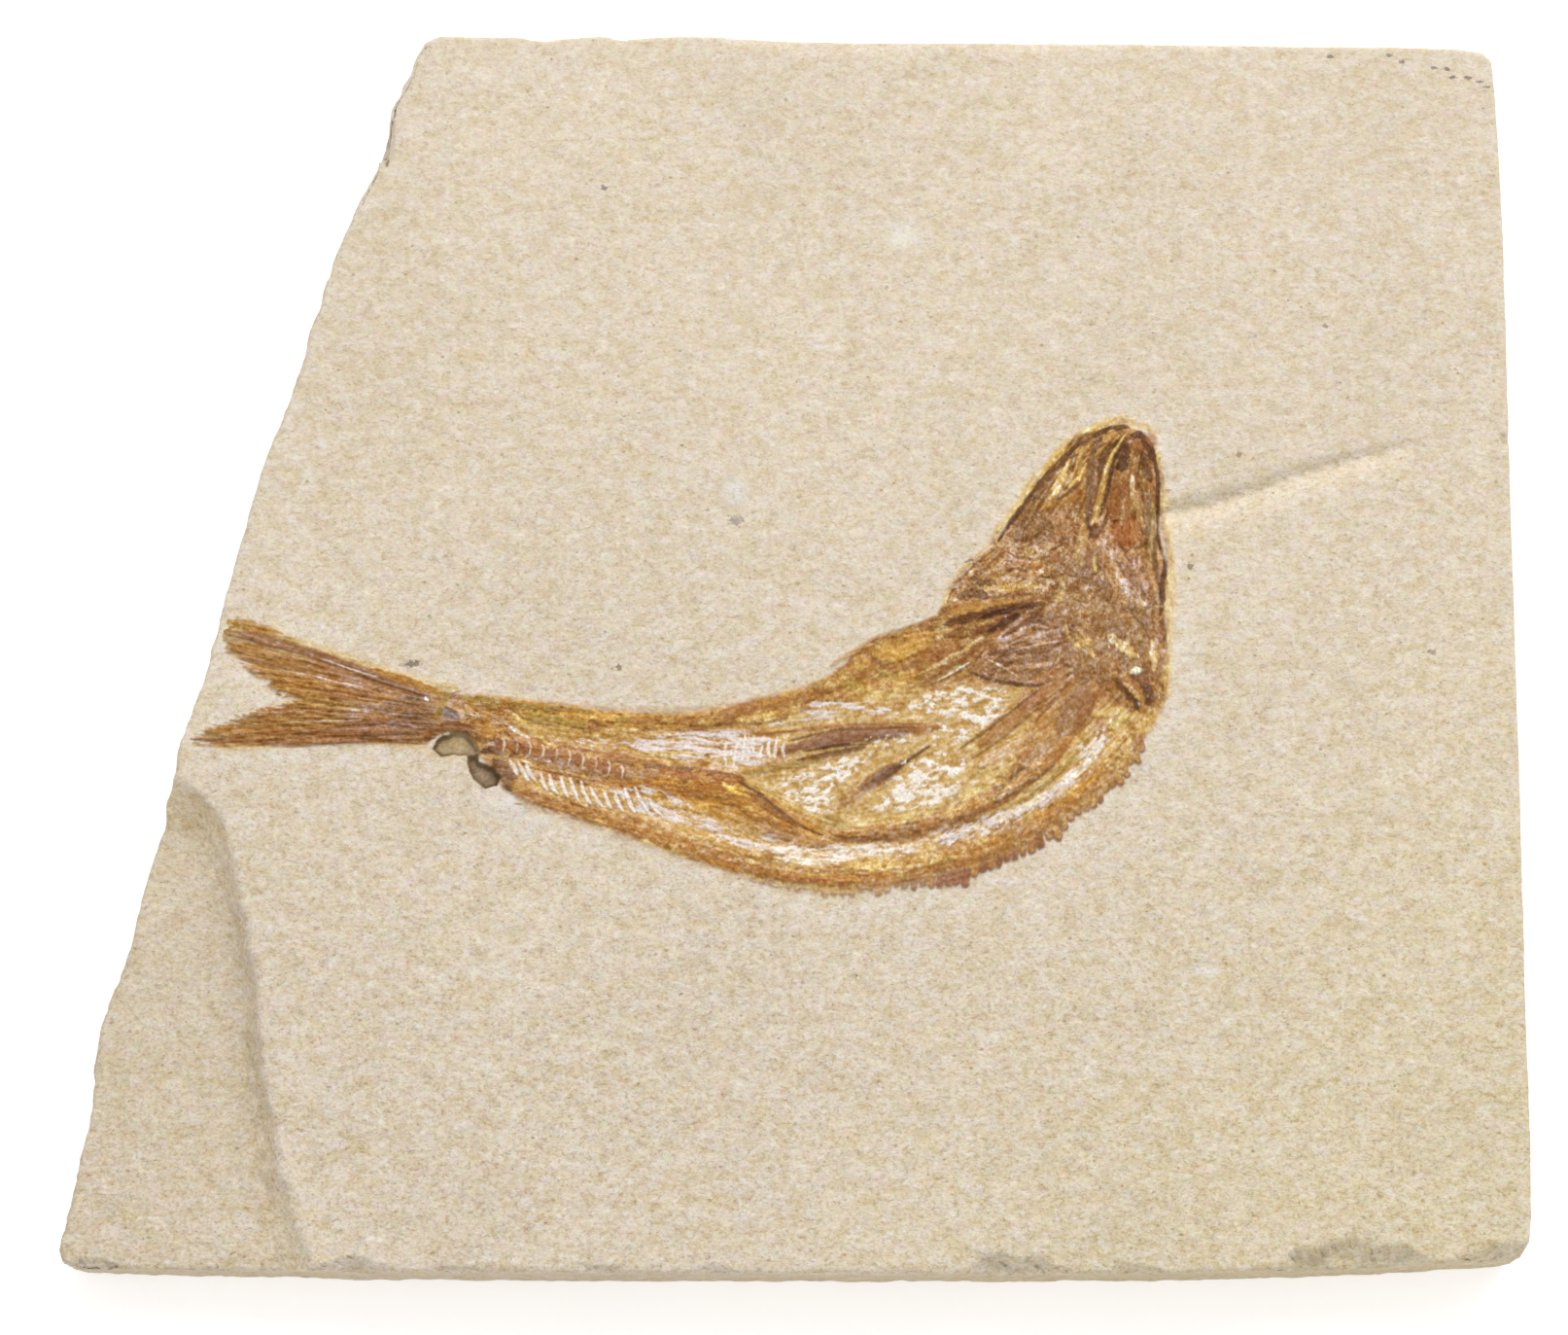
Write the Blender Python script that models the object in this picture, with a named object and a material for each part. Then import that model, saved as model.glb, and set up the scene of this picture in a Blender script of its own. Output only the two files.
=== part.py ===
"""A fossil fish on its slab of pale limestone, lying face up.

The slab is a saw-cut plate with one long side left as a natural break. A thinner layer shows along
the lower part of that break, a step below the face that carries the fish. The fish is a low relief of
bone with a forked tail. It sits in a shallow bed cut in the slab, with a hair of room all round.

Metres, +Z up. The origin is the middle of the underside. Every shape is drawn in millimetres in the
plan of the slab's top face, X along the front edge and Y towards the back, and moved by
DRAWING_CENTRE so that the outline is centred.
"""
import math
import random

import bmesh
import bpy
import numpy as np

MM = 0.001

# Driving dimensions, in millimetres
SLAB_THICKNESS = 9.0
DRAWING_CENTRE = (-0.24, 0.20)
OUTLINE_STEP = 2.4        # longest straight stretch round the slab's edge
BREAK_ROUGHNESS = 0.55    # how far the natural break wanders between layers
SAW_ROUGHNESS = 0.12      # the same on the three cut sides
TIER_DROP = 2.2           # the step down to the lower layer
FURROW_DEPTH = 0.55       # the scraped furrow beside the head
PIT_DEPTH = 0.9           # the two dug pits under the root of the tail

FISH_BED_DEPTH = 0.7      # how deep the bone sits below the slab's face
FISH_RIM = 0.12           # height of the bone's edge above the face
FISH_GAP = 0.35           # room left between bone and stone
SCUTE_PITCH = 1.05        # belly scutes, tooth to tooth
SCUTE_LENGTH = 0.6
SCUTE_LEAN = 0.35         # how far each tooth leans towards the tail, as a share of its length
FISH_COLUMNS = 15         # points across the fish
STATION_STEP = 1.25       # distance between cross-sections away from the scutes

SEED = 7

# The slab's outline, clockwise from its back left corner
SLAB_OUTLINE = (
    (-26.7, 42.4), (-26.2, 43.3), (-25.2, 43.75), (-20.0, 43.7), (-17.5, 43.5), (-14.0, 43.75),
    (-12.0, 43.55), (-8.0, 43.75), (-4.0, 43.7), (-1.5, 43.5), (5.5, 43.35), (19.0, 43.3),
    (33.0, 43.1), (46.5, 42.85), (48.3, 42.6), (49.0, 41.9), (49.25, 38.0), (49.55, 29.0),
    (49.65, 12.0), (49.85, -6.0), (50.0, -28.0), (50.12, -34.0), (50.05, -39.5), (49.9, -41.2),
    (49.4, -42.1), (48.4, -42.35), (40.0, -42.85), (34.0, -43.1), (26.0, -43.3), (5.0, -43.35),
    (-15.0, -43.3), (-31.5, -43.2), (-36.0, -43.0), (-45.0, -42.9), (-49.2, -42.75),
    (-50.3, -42.4), (-50.6, -41.4), (-49.8, -37.5), (-49.2, -34.8), (-48.5, -31.6),
    (-48.4, -29.2), (-48.1, -26.5), (-47.0, -23.2), (-46.1, -20.4), (-44.8, -15.5),
    (-43.9, -12.6), (-43.6, -10.5), (-43.0, -8.8), (-43.0, -7.3), (-42.0, -4.6), (-41.0, -1.9),
    (-39.6, 3.7), (-37.4, 12.0), (-35.5, 17.5), (-34.0, 22.6), (-32.4, 27.6), (-30.8, 31.5),
    (-29.5, 34.3), (-28.8, 37.1), (-28.5, 38.3), (-27.2, 41.2))

# Rings of the slab's side: height as a share of the thickness, inset, share of the roughness
SIDE_RINGS = ((0.0, 0.45, 0.4), (0.14, 0.12, 0.7), (0.45, 0.0, 1.0), (0.74, 0.0, 0.8),
              (0.955, 0.0, 0.3), (1.0, 0.28, 0.3))

# The step on the left: its upper rim, and its foot on the lower layer, from back to front
TIER_RIM = ((-44.2, -8.2), (-43.1, -8.9), (-42.0, -9.8), (-41.0, -10.6), (-40.2, -11.3),
            (-39.6, -12.4), (-39.1, -14.3), (-38.4, -17.0), (-37.7, -20.2), (-37.2, -23.5),
            (-36.9, -26.2), (-36.5, -29.5), (-36.0, -32.6), (-35.3, -36.0), (-34.4, -38.8),
            (-33.6, -41.2), (-32.8, -44.6))
TIER_FOOT = ((-45.6, -13.0), (-44.4, -13.6), (-43.2, -14.0), (-42.1, -14.6), (-41.3, -15.4),
             (-40.6, -16.4), (-40.0, -17.8), (-39.5, -19.8), (-39.0, -22.3), (-38.7, -24.9),
             (-38.5, -27.6), (-38.4, -30.4), (-38.2, -33.4), (-37.9, -36.6), (-37.6, -39.4),
             (-37.2, -42.0), (-36.9, -44.8))

# The furrow's bottom line, and its two sides at each point: (x, y, up, down, share of the depth)
FURROW = ((25.2, 9.4, 1.0, 1.9, 0.9), (28.5, 10.0, 1.0, 2.0, 1.0), (31.8, 11.0, 1.0, 2.1, 1.0),
          (35.0, 12.2, 0.9, 2.1, 0.95), (38.2, 13.1, 0.9, 1.9, 0.85), (41.2, 13.8, 0.8, 1.4, 0.6),
          (43.8, 14.5, 0.4, 0.6, 0.15))

# The pits, clockwise
PITS = {
    "pit_upper": ((-25.2, -7.2), (-25.0, -6.6), (-24.3, -6.1), (-23.2, -6.0), (-22.4, -6.6),
                  (-22.0, -7.4), (-22.3, -7.9), (-23.3, -7.7), (-24.4, -7.8)),
    "pit_lower": ((-22.7, -8.1), (-21.9, -8.0), (-21.0, -8.5), (-20.4, -9.2), (-20.7, -9.8),
                  (-21.5, -10.0), (-22.1, -9.6), (-22.7, -8.8))}

# Flakes off the rim: (x, y, half width, reach inwards, drop, turn in degrees)
FRONT_FLAKES = ((-30.6, -43.3, 2.5, 1.0, 1.3, 3), (-23.1, -43.4, 1.4, 0.5, 0.9, -4),
                (-13.3, -43.4, 1.5, 0.5, 0.8, 0), (-6.0, -43.4, 2.1, 0.4, 0.9, 2),
                (2.0, -43.5, 1.8, 0.35, 0.8, 0), (7.6, -43.5, 1.7, 0.35, 0.8, 0),
                (14.9, -43.5, 3.6, 1.25, 1.7, -6), (23.6, -43.4, 2.3, 0.45, 1.0, -8),
                (35.2, -43.0, 2.0, 1.35, 1.5, 8), (37.6, -43.1, 2.2, 2.0, 1.3, 0),
                (40.9, -43.0, 2.1, 1.3, 1.6, -10), (47.9, -42.6, 2.6, 1.0, 1.4, 14),
                (-48.2, -42.9, 2.0, 0.7, 4.0, -8))
SIDE_FLAKES = ((49.9, 14.8, 0.25, 0.85, 1.2, 15), (-29.1, 36.2, 1.7, 0.75, 2.6, 80),
               (-18.0, 43.8, 1.6, 0.5, 0.8, 0), (-12.3, 43.8, 1.2, 0.5, 0.7, 0))

# The worn slope along the back rim: (x, reach inwards)
BACK_SLOPE = ((-5.0, 0.1), (-2.5, 0.6), (0.5, 1.2), (2.5, 1.35), (5.0, 0.8), (7.5, 1.2), (10.0, 0.6),
              (13.5, 0.8), (17.5, 1.0), (21.0, 0.5), (30.0, 0.55), (38.0, 0.35), (46.0, 0.1))
BACK_SLOPE_DROP = 0.55

# Cross-sections of the fish from snout to tail root: (back x, y, belly x, y)
FISH_SECTIONS = (
    (22.5, 15.6, 24.0, 15.2), (20.6, 15.2, 24.7, 14.2), (19.2, 14.5, 25.0, 13.0),
    (18.1, 13.4, 25.2, 11.6), (17.0, 12.0, 25.2, 10.0), (15.9, 10.3, 25.1, 8.3),
    (14.8, 8.8, 25.3, 6.6), (13.9, 7.3, 25.7, 4.8), (12.6, 6.0, 25.4, 2.8), (11.5, 4.9, 25.5, 0.4),
    (10.8, 4.0, 25.5, -2.4), (10.3, 3.0, 24.9, -5.0), (9.8, 2.2, 22.8, -7.6),
    (8.4, 1.5, 20.2, -10.3), (6.6, 0.8, 16.9, -12.8), (4.7, 0.0, 13.0, -14.8),
    (3.0, -1.6, 9.8, -15.9), (1.2, -2.8, 6.8, -16.5), (-0.8, -3.4, 3.8, -16.9),
    (-2.8, -3.9, 0.6, -16.7), (-4.8, -4.4, -2.6, -16.1), (-7.2, -4.8, -6.0, -15.2),
    (-9.8, -4.9, -9.4, -14.0), (-12.6, -4.75, -12.4, -12.9), (-15.2, -4.4, -15.0, -12.0),
    (-17.6, -4.1, -17.4, -11.2), (-19.6, -3.9, -19.4, -10.4), (-21.0, -3.7, -20.3, -9.6),
    (-21.8, -3.6, -20.9, -8.5), (-22.6, -3.55, -21.9, -7.5), (-23.3, -3.5, -22.5, -6.4),
    (-24.0, -3.35, -23.6, -5.8), (-24.8, -3.15, -24.7, -6.1), (-26.2, -2.75, -26.4, -6.9))

SCUTE_SECTIONS = (11.6, 18.0)   # where the scutes begin and end, counted along the sections

# The hind edge of the tail, from the tip of the upper lobe to the tip of the lower one
TAIL_TIPS = ((-39.0, 1.5), (-39.2, 1.0), (-39.1, 0.3), (-38.6, -0.4), (-38.0, -1.1), (-37.6, -1.9),
             (-36.6, -2.7), (-34.6, -3.7), (-36.4, -4.3), (-37.6, -4.8), (-38.6, -5.2),
             (-39.6, -5.7), (-40.6, -6.1), (-41.3, -6.5), (-41.2, -6.9))
TAIL_STATIONS = 9
TAIL_BOW = 0.35           # how far the lower edge of the tail is drawn up between root and tip
RAY_HEIGHT = 0.16

# Ridges of the relief: height, half width, line. A negative height is a hollow.
RIDGES = {
    "skull_roof": (0.40, 0.8, ((22.6, 15.3), (20.2, 14.4), (18.4, 13.0), (16.9, 11.2), (15.6, 9.2))),
    "snout_bar": (0.30, 0.5, ((22.4, 14.6), (20.9, 12.6), (20.1, 9.8), (20.0, 7.5))),
    "jaw_groove": (-0.30, 0.45, ((22.7, 14.5), (21.7, 11.9), (20.7, 9.2))),
    "lower_jaw": (0.45, 0.7, ((23.6, 14.6), (24.5, 12.4), (24.7, 9.5), (24.6, 6.5), (24.8, 3.0))),
    "eye_hollow": (-0.25, 1.2, ((22.9, 10.2), (22.9, 7.2))),
    "braincase": (0.40, 1.9, ((19.6, 5.6), (20.8, 2.4), (20.4, -0.6))),
    "gill_cover": (0.35, 1.3, ((13.6, 5.6), (15.8, 5.2), (17.4, 2.4))),
    "shoulder": (0.35, 1.0, ((11.2, 2.6), (13.6, 1.9), (16.0, 2.6))),
    "gill_bone": (0.30, 1.2, ((13.4, -1.4), (16.4, -0.6), (18.6, 0.2))),
    "throat": (0.30, 0.8, ((22.6, -2.8), (24.2, -3.6), (24.9, -4.2))),
    "dorsal_band": (0.25, 0.9, ((8.4, 0.4), (4.2, -1.8), (0.0, -4.2), (-5.0, -5.4), (-11.0, -5.8),
                                (-16.0, -5.1), (-21.0, -4.3))),
    "backbone": (0.35, 0.7, ((-3.6, -9.3), (-8.0, -9.2), (-12.0, -8.9), (-15.5, -8.1),
                             (-18.5, -7.3), (-21.6, -6.0), (-24.4, -4.8))),
    "belly_band": (0.30, 0.9, ((20.4, -4.6), (17.0, -8.0), (13.0, -10.6), (9.0, -12.0),
                               (4.0, -12.9), (0.8, -12.8), (-2.4, -11.6), (-6.2, -9.9))),
    "belly_hollow": (-0.20, 1.8, ((12.0, -4.6), (8.0, -7.6), (3.0, -9.2), (-0.5, -9.6))),
    "keel_groove": (-0.15, 0.6, ((20.8, -7.4), (17.0, -10.6), (12.4, -12.9), (6.4, -14.2),
                                 (0.4, -14.6), (-5.4, -13.2), (-11.0, -11.4))),
    "keel": (0.30, 0.9, ((23.6, -5.6), (21.2, -8.6), (17.8, -11.5), (13.6, -13.8), (9.0, -15.0),
                         (4.0, -15.8), (0.0, -15.6), (-5.0, -14.4), (-10.0, -13.0),
                         (-15.0, -11.3), (-19.0, -10.0))),
    "leaf_upper": (0.22, 0.5, ((-0.6, -7.2), (3.0, -6.3), (8.4, -5.7))),
    "leaf_lower": (0.22, 0.5, ((3.4, -10.6), (6.2, -8.8), (9.0, -7.0))),
    "tail_stem": (0.25, 1.0, ((-24.4, -4.7), (-28.0, -4.2)))}
BODY_CROWN = 0.30

COLOURS = {"limestone": (0.74, 0.64, 0.47, 1.0), "fossil_bone": (0.33, 0.15, 0.045, 1.0)}
ROUGHNESS = {"limestone": 0.93, "fossil_bone": 0.38}


# ---------------------------------------------------------------- helpers

def clear_scene():
    for old in list(bpy.data.objects):
        bpy.data.objects.remove(old, do_unlink=True)


def place(x, y, z):
    """Drawing millimetres to a point in metres."""
    return ((x - DRAWING_CENTRE[0]) * MM, (y - DRAWING_CENTRE[1]) * MM, z * MM)


def make_material(name):
    material = bpy.data.materials.new(name)
    material.use_nodes = True
    shader = material.node_tree.nodes["Principled BSDF"]
    shader.inputs["Base Color"].default_value = COLOURS[name]
    shader.inputs["Roughness"].default_value = ROUGHNESS[name]
    shader.inputs["Metallic"].default_value = 0.0
    return material


def make_object(name, bm, material=None):
    """An object from a bmesh, with its faces turned outwards."""
    bmesh.ops.recalc_face_normals(bm, faces=bm.faces[:])
    if bm.calc_volume(signed=True) < 0.0:
        bmesh.ops.reverse_faces(bm, faces=bm.faces[:])
    mesh = bpy.data.meshes.new(name)
    bm.to_mesh(mesh)
    bm.free()
    obj = bpy.data.objects.new(name, mesh)
    bpy.context.scene.collection.objects.link(obj)
    if material:
        mesh.materials.append(material)
    return obj


def cut(target, cutter):
    """Take the cutter away from the target, and keep it as a hidden wire."""
    cutter.hide_render = True
    cutter.display_type = "WIRE"
    boolean = target.modifiers.new(cutter.name, "BOOLEAN")
    boolean.operation = "DIFFERENCE"
    boolean.solver = "EXACT"
    boolean.object = cutter


def resample(points, step, closed=False):
    """Points along a polyline no further apart than step, with its corners kept."""
    source = list(points) + ([points[0]] if closed else [])
    result = []
    for start, end in zip(source, source[1:]):
        count = max(1, math.ceil(math.dist(start, end) / step))
        for i in range(count):
            share = i / count
            result.append((start[0] + (end[0] - start[0]) * share,
                           start[1] + (end[1] - start[1]) * share))
    return result if closed else result + [source[-1]]


def inward_normals(points):
    """Unit normals of a clockwise closed outline, pointing into it."""
    normals = []
    for i, point in enumerate(points):
        before, after = points[i - 1], points[(i + 1) % len(points)]
        along = (after[0] - before[0], after[1] - before[1])
        length = math.hypot(*along) or 1.0
        normals.append((along[1] / length, -along[0] / length))
    return normals


def offset_outline(points, distance):
    """A closed clockwise outline moved outwards."""
    normals = inward_normals(points)
    return [(x - nx * distance, y - ny * distance)
            for (x, y), (nx, ny) in zip(points, normals)]


def loft(bm, rings):
    """Closed body through rings of equally many points, with flat caps."""
    loops = [[bm.verts.new(place(*point)) for point in ring] for ring in rings]
    count = len(loops[0])
    for low, high in zip(loops, loops[1:]):
        for i in range(count):
            j = (i + 1) % count
            bm.faces.new((low[i], low[j], high[j], high[i]))
    bm.faces.new(loops[0])
    bm.faces.new(loops[-1])


# ---------------------------------------------------------------- limestone slab

def build_slab(material):
    """The plate: rings of one outline, each worn or broken back a little."""
    rng = random.Random(SEED)
    outline = resample(SLAB_OUTLINE, OUTLINE_STEP, closed=True)
    normals = inward_normals(outline)
    rings = []
    for height, inset, share in SIDE_RINGS:
        ring = []
        for (x, y), (nx, ny) in zip(outline, normals):
            natural = nx > 0.5 and x < -20.0
            rough = BREAK_ROUGHNESS if natural else SAW_ROUGHNESS
            outermost = x in (-50.6, 50.12) or y in (43.75, -43.35)
            back = inset + (0.0 if outermost else rough * share * rng.random())
            ring.append((x + nx * back, y + ny * back, height * SLAB_THICKNESS))
        rings.append(ring)
    bm = bmesh.new()
    loft(bm, rings)
    return make_object("limestone_slab", bm, material)


def tier_cutter():
    """What is missing over the lower layer, with a sloping broken wall."""
    rng = random.Random(SEED + 1)
    floor = SLAB_THICKNESS - TIER_DROP
    above = SLAB_THICKNESS + 3.0
    slope = 3.0 / TIER_DROP
    bm = bmesh.new()
    columns = []
    for rim, foot in zip(TIER_RIM, TIER_FOOT):
        lean = ((rim[0] - foot[0]) * slope, (rim[1] - foot[1]) * slope)
        middle = ((rim[0] + foot[0]) / 2 + rng.uniform(-0.15, 0.25), (rim[1] + foot[1]) / 2)
        columns.append(((-56.0, foot[1] - 0.5, floor), (foot[0], foot[1], floor),
                        (middle[0], middle[1], floor + TIER_DROP * 0.42),
                        (rim[0], rim[1], SLAB_THICKNESS),
                        (rim[0] + lean[0] * 0.3, rim[1] + lean[1] * 0.3, above),
                        (-56.0, foot[1] - 0.5, above)))
    loft(bm, columns)
    return make_object("tier_cutter", bm)


def furrow_cutter():
    """A shallow groove with a steep back wall and a long front slope."""
    above = 1.5
    bm = bmesh.new()
    rings = []
    for x, y, up, down, share in FURROW:
        depth = FURROW_DEPTH * share
        rise = 1.0 + above / depth
        top = SLAB_THICKNESS + above
        rings.append(((x + 0.25 * down * rise, y - down * rise, top),
                      (x, y, SLAB_THICKNESS - depth),
                      (x - 0.25 * up * rise, y + up * rise, top)))
    loft(bm, rings)
    return make_object("furrow_cutter", bm)


def pit_cutter(name, outline):
    """A dug pit that narrows towards its floor."""
    middle = (sum(p[0] for p in outline) / len(outline), sum(p[1] for p in outline) / len(outline))
    bm = bmesh.new()
    rings = []
    for scale, height in ((0.62, -PIT_DEPTH), (0.9, -PIT_DEPTH * 0.5), (1.0, 0.0), (1.05, 0.6)):
        rings.append([(middle[0] + (x - middle[0]) * scale, middle[1] + (y - middle[1]) * scale,
                       SLAB_THICKNESS + height) for x, y in outline])
    loft(bm, rings)
    return make_object(name, bm)


def flake_cutter(name, flake, seed):
    """The shell-shaped hollow that a flake leaves at the rim."""
    x, y, half_width, reach, drop, turn = flake
    rng = random.Random(seed)
    angle = math.radians(turn)
    bm = bmesh.new()
    bmesh.ops.create_icosphere(bm, subdivisions=2, radius=1.0)
    for vert in bm.verts:
        wobble = 1.0 + rng.uniform(-0.07, 0.07)
        across, inwards, up = vert.co * wobble
        across, inwards = across * half_width, inwards * reach
        px = x + across * math.cos(angle) - inwards * math.sin(angle)
        py = y + across * math.sin(angle) + inwards * math.cos(angle)
        vert.co = place(px, py, SLAB_THICKNESS + 0.15 + up * drop)
    return make_object(name, bm)


def back_slope_cutter():
    """A worn chamfer of uneven width along the back rim."""
    edge = 43.9
    bm = bmesh.new()
    rings = []
    for x, reach in BACK_SLOPE:
        inner = edge - 0.6 - reach
        rings.append(((x, inner, SLAB_THICKNESS), (x, edge, SLAB_THICKNESS - BACK_SLOPE_DROP),
                      (x, edge + 1.0, SLAB_THICKNESS + 1.0), (x, inner, SLAB_THICKNESS + 1.0)))
    loft(bm, rings)
    return make_object("back_slope_cutter", bm)


def fish_bed_cutter(outline):
    """The bed that the bone lies in: its own outline with room to spare."""
    bm = bmesh.new()
    floor = SLAB_THICKNESS - FISH_BED_DEPTH - FISH_GAP
    loft(bm, [[(x, y, z) for x, y in outline] for z in (floor, SLAB_THICKNESS + 1.0)])
    return make_object("fish_bed_cutter", bm)


# ---------------------------------------------------------------- fossil fish

def smooth_curve(points, samples):
    """Catmull-Rom curve through the points, as an array of samples per span."""
    p = np.array(points, dtype=float)
    p = np.vstack((2 * p[0] - p[1], p, 2 * p[-1] - p[-2]))
    rows = []
    for i in range(1, len(p) - 2):
        for t in np.arange(samples) / samples:
            rows.append(0.5 * (2 * p[i] + (p[i + 1] - p[i - 1]) * t
                               + (2 * p[i - 1] - 5 * p[i] + 4 * p[i + 1] - p[i + 2]) * t ** 2
                               + (3 * p[i] - 3 * p[i + 1] + p[i + 2] - p[i - 1]) * t ** 3))
    rows.append(p[-2])
    return np.array(rows)


def body_stations():
    """Cross-sections (back x, y, belly x, y), close together along the scutes."""
    fine = smooth_curve(FISH_SECTIONS, 40)
    steps = np.hypot(np.diff(fine[:, 2]), np.diff(fine[:, 3]))
    length = np.concatenate(([0.0], np.cumsum(steps)))
    first_scute, last_scute = np.interp(SCUTE_SECTIONS, np.arange(len(fine)) / 40, length)
    scutes = int((last_scute - first_scute) / SCUTE_PITCH)
    last_scute = first_scute + scutes * SCUTE_PITCH
    before = np.arange(0.0, first_scute - 0.5, STATION_STEP)
    along = np.linspace(first_scute, last_scute, 2 * scutes + 1)
    after = np.linspace(last_scute, length[-1], int((length[-1] - last_scute) / STATION_STEP))[1:]
    places = np.concatenate((before, along, after))
    sections = np.stack([np.interp(places, length, fine[:, k]) for k in range(4)], 1)
    teeth = np.zeros(len(places))
    teeth[len(before) + 1:len(before) + len(along):2] = SCUTE_LENGTH
    return sections, teeth


def distance_to_line(x, y, line):
    """Shortest distance from points to a polyline."""
    best = np.full(np.shape(x), 1e9)
    for (ax, ay), (bx, by) in zip(line, line[1:]):
        dx, dy = bx - ax, by - ay
        t = np.clip(((x - ax) * dx + (y - ay) * dy) / (dx * dx + dy * dy), 0.0, 1.0)
        best = np.minimum(best, np.hypot(x - ax - t * dx, y - ay - t * dy))
    return best


def relief(x, y, across):
    """Height of the bone above the slab's face; across runs from 0 at the back to 1 at the belly."""
    edge = np.sqrt(np.clip(np.sin(np.pi * across), 0.0, 1.0))
    height = np.full(np.shape(x), BODY_CROWN)
    for ridge, half_width, line in RIDGES.values():
        height = height + ridge * np.exp(-(distance_to_line(x, y, line) / half_width) ** 2)
    return FISH_RIM + edge * np.maximum(height, 0.05)


def fish_grid():
    """Points of the fish's upper surface, one row for each cross-section, snout to tail."""
    sections, teeth = body_stations()
    across = np.linspace(0.0, 1.0, FISH_COLUMNS)
    rows = []
    for (bx, by, vx, vy), tooth in zip(sections, teeth):
        width = math.hypot(vx - bx, vy - by)
        x, y = bx + (vx - bx) * across, by + (vy - by) * across
        z = relief(x, y, across)
        x[-1] += ((vx - bx) / width - SCUTE_LEAN) * tooth
        y[-1] += (vy - by) / width * tooth
        rows.append(np.stack((x, y, z), 1))
    root = rows[-1]
    tips = np.array(TAIL_TIPS)
    ray = np.where(np.arange(FISH_COLUMNS) % 2 == 0, -1.0, 1.0) * RAY_HEIGHT
    for i in range(1, TAIL_STATIONS + 1):
        share = i / TAIL_STATIONS
        x = root[:, 0] + (tips[:, 0] - root[:, 0]) * share
        y = root[:, 1] + (tips[:, 1] - root[:, 1]) * share
        y = y + TAIL_BOW * math.sin(math.pi * share) * across ** 2
        z = FISH_RIM + (relief(x, y, across) - FISH_RIM) * (1.0 - 0.6 * share) + ray
        rows.append(np.stack((x, y, np.maximum(z, 0.5 * FISH_RIM)), 1))
    return rows


def rim_of(rows):
    """The grid's border as a list of (row, column), clockwise from above."""
    last, side = len(rows) - 1, FISH_COLUMNS - 1
    return ([(0, k) for k in range(side)] + [(r, side) for r in range(last)]
            + [(last, k) for k in range(side, 0, -1)] + [(r, 0) for r in range(last, 0, -1)])


def build_fish(rows, material):
    """The bone: the relief above, an upright rim and a flat underside."""
    bm = bmesh.new()
    top = [[bm.verts.new(place(x, y, SLAB_THICKNESS + z)) for x, y, z in row] for row in rows]
    for row, following in zip(top, top[1:]):
        for k in range(FISH_COLUMNS - 1):
            bm.faces.new((row[k], row[k + 1], following[k + 1], following[k]))
    border = rim_of(rows)
    under = [bm.verts.new(place(rows[r][k][0], rows[r][k][1], SLAB_THICKNESS - FISH_BED_DEPTH))
             for r, k in border]
    for i, (r, k) in enumerate(border):
        j = (i + 1) % len(border)
        bm.faces.new((top[r][k], top[border[j][0]][border[j][1]], under[j], under[i]))
    bm.faces.new(under)
    fish = make_object("fossil_fish", bm, material)
    fish.data.shade_smooth()
    fish.data.set_sharp_from_angle(angle=math.radians(35.0))
    return fish


def bed_outline():
    """Outline of the bed: the fish's own edge without its scutes, moved outwards."""
    sections = smooth_curve(FISH_SECTIONS, 2)
    back = [(s[0], s[1]) for s in sections]
    belly = [(s[2], s[3]) for s in sections]
    scutes_from, scutes_to = (round(2 * section) for section in SCUTE_SECTIONS)
    belly_out = []
    for i, (x, y) in enumerate(belly):
        before, after = belly[max(0, i - 1)], belly[min(len(belly) - 1, i + 1)]
        along = (after[0] - before[0], after[1] - before[1])
        length = math.hypot(*along)
        reach = SCUTE_LENGTH if scutes_from <= i <= scutes_to else 0.0
        belly_out.append((x - along[1] / length * reach, y + along[0] / length * reach))
    lower_edge = [(-31.5, -6.5), (-36.5, -6.85)]
    outline = belly_out + lower_edge + list(reversed(TAIL_TIPS)) + list(reversed(back))
    return offset_outline(outline, FISH_GAP)


# ---------------------------------------------------------------- assembly

def main():
    clear_scene()
    limestone = make_material("limestone")
    bone = make_material("fossil_bone")

    slab = build_slab(limestone)
    cut(slab, tier_cutter())
    cut(slab, back_slope_cutter())
    for i, flake in enumerate(FRONT_FLAKES + SIDE_FLAKES):
        cut(slab, flake_cutter(f"flake_cutter_{i:02d}", flake, SEED + 10 + i))
    cut(slab, furrow_cutter())
    cut(slab, fish_bed_cutter(bed_outline()))
    for name, outline in PITS.items():
        cut(slab, pit_cutter(name, outline))

    build_fish(fish_grid(), bone)


main()
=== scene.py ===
# Fossil fish slab: the finish of the limestone and of the fish
import math
import bpy
import numpy as np
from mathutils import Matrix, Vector


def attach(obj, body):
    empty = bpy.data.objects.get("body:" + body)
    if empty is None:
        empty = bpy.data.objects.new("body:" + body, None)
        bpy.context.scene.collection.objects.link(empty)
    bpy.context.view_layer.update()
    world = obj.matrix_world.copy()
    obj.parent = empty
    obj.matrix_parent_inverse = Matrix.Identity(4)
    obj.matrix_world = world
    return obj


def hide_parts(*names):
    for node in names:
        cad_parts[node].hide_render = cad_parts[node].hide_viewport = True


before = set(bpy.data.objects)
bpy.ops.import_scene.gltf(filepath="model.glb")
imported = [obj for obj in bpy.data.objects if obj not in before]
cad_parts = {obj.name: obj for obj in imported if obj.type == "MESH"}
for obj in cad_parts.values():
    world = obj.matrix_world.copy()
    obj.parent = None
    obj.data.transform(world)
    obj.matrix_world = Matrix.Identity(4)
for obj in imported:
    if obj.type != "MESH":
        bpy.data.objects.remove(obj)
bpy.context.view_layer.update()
mm = 0.001
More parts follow.
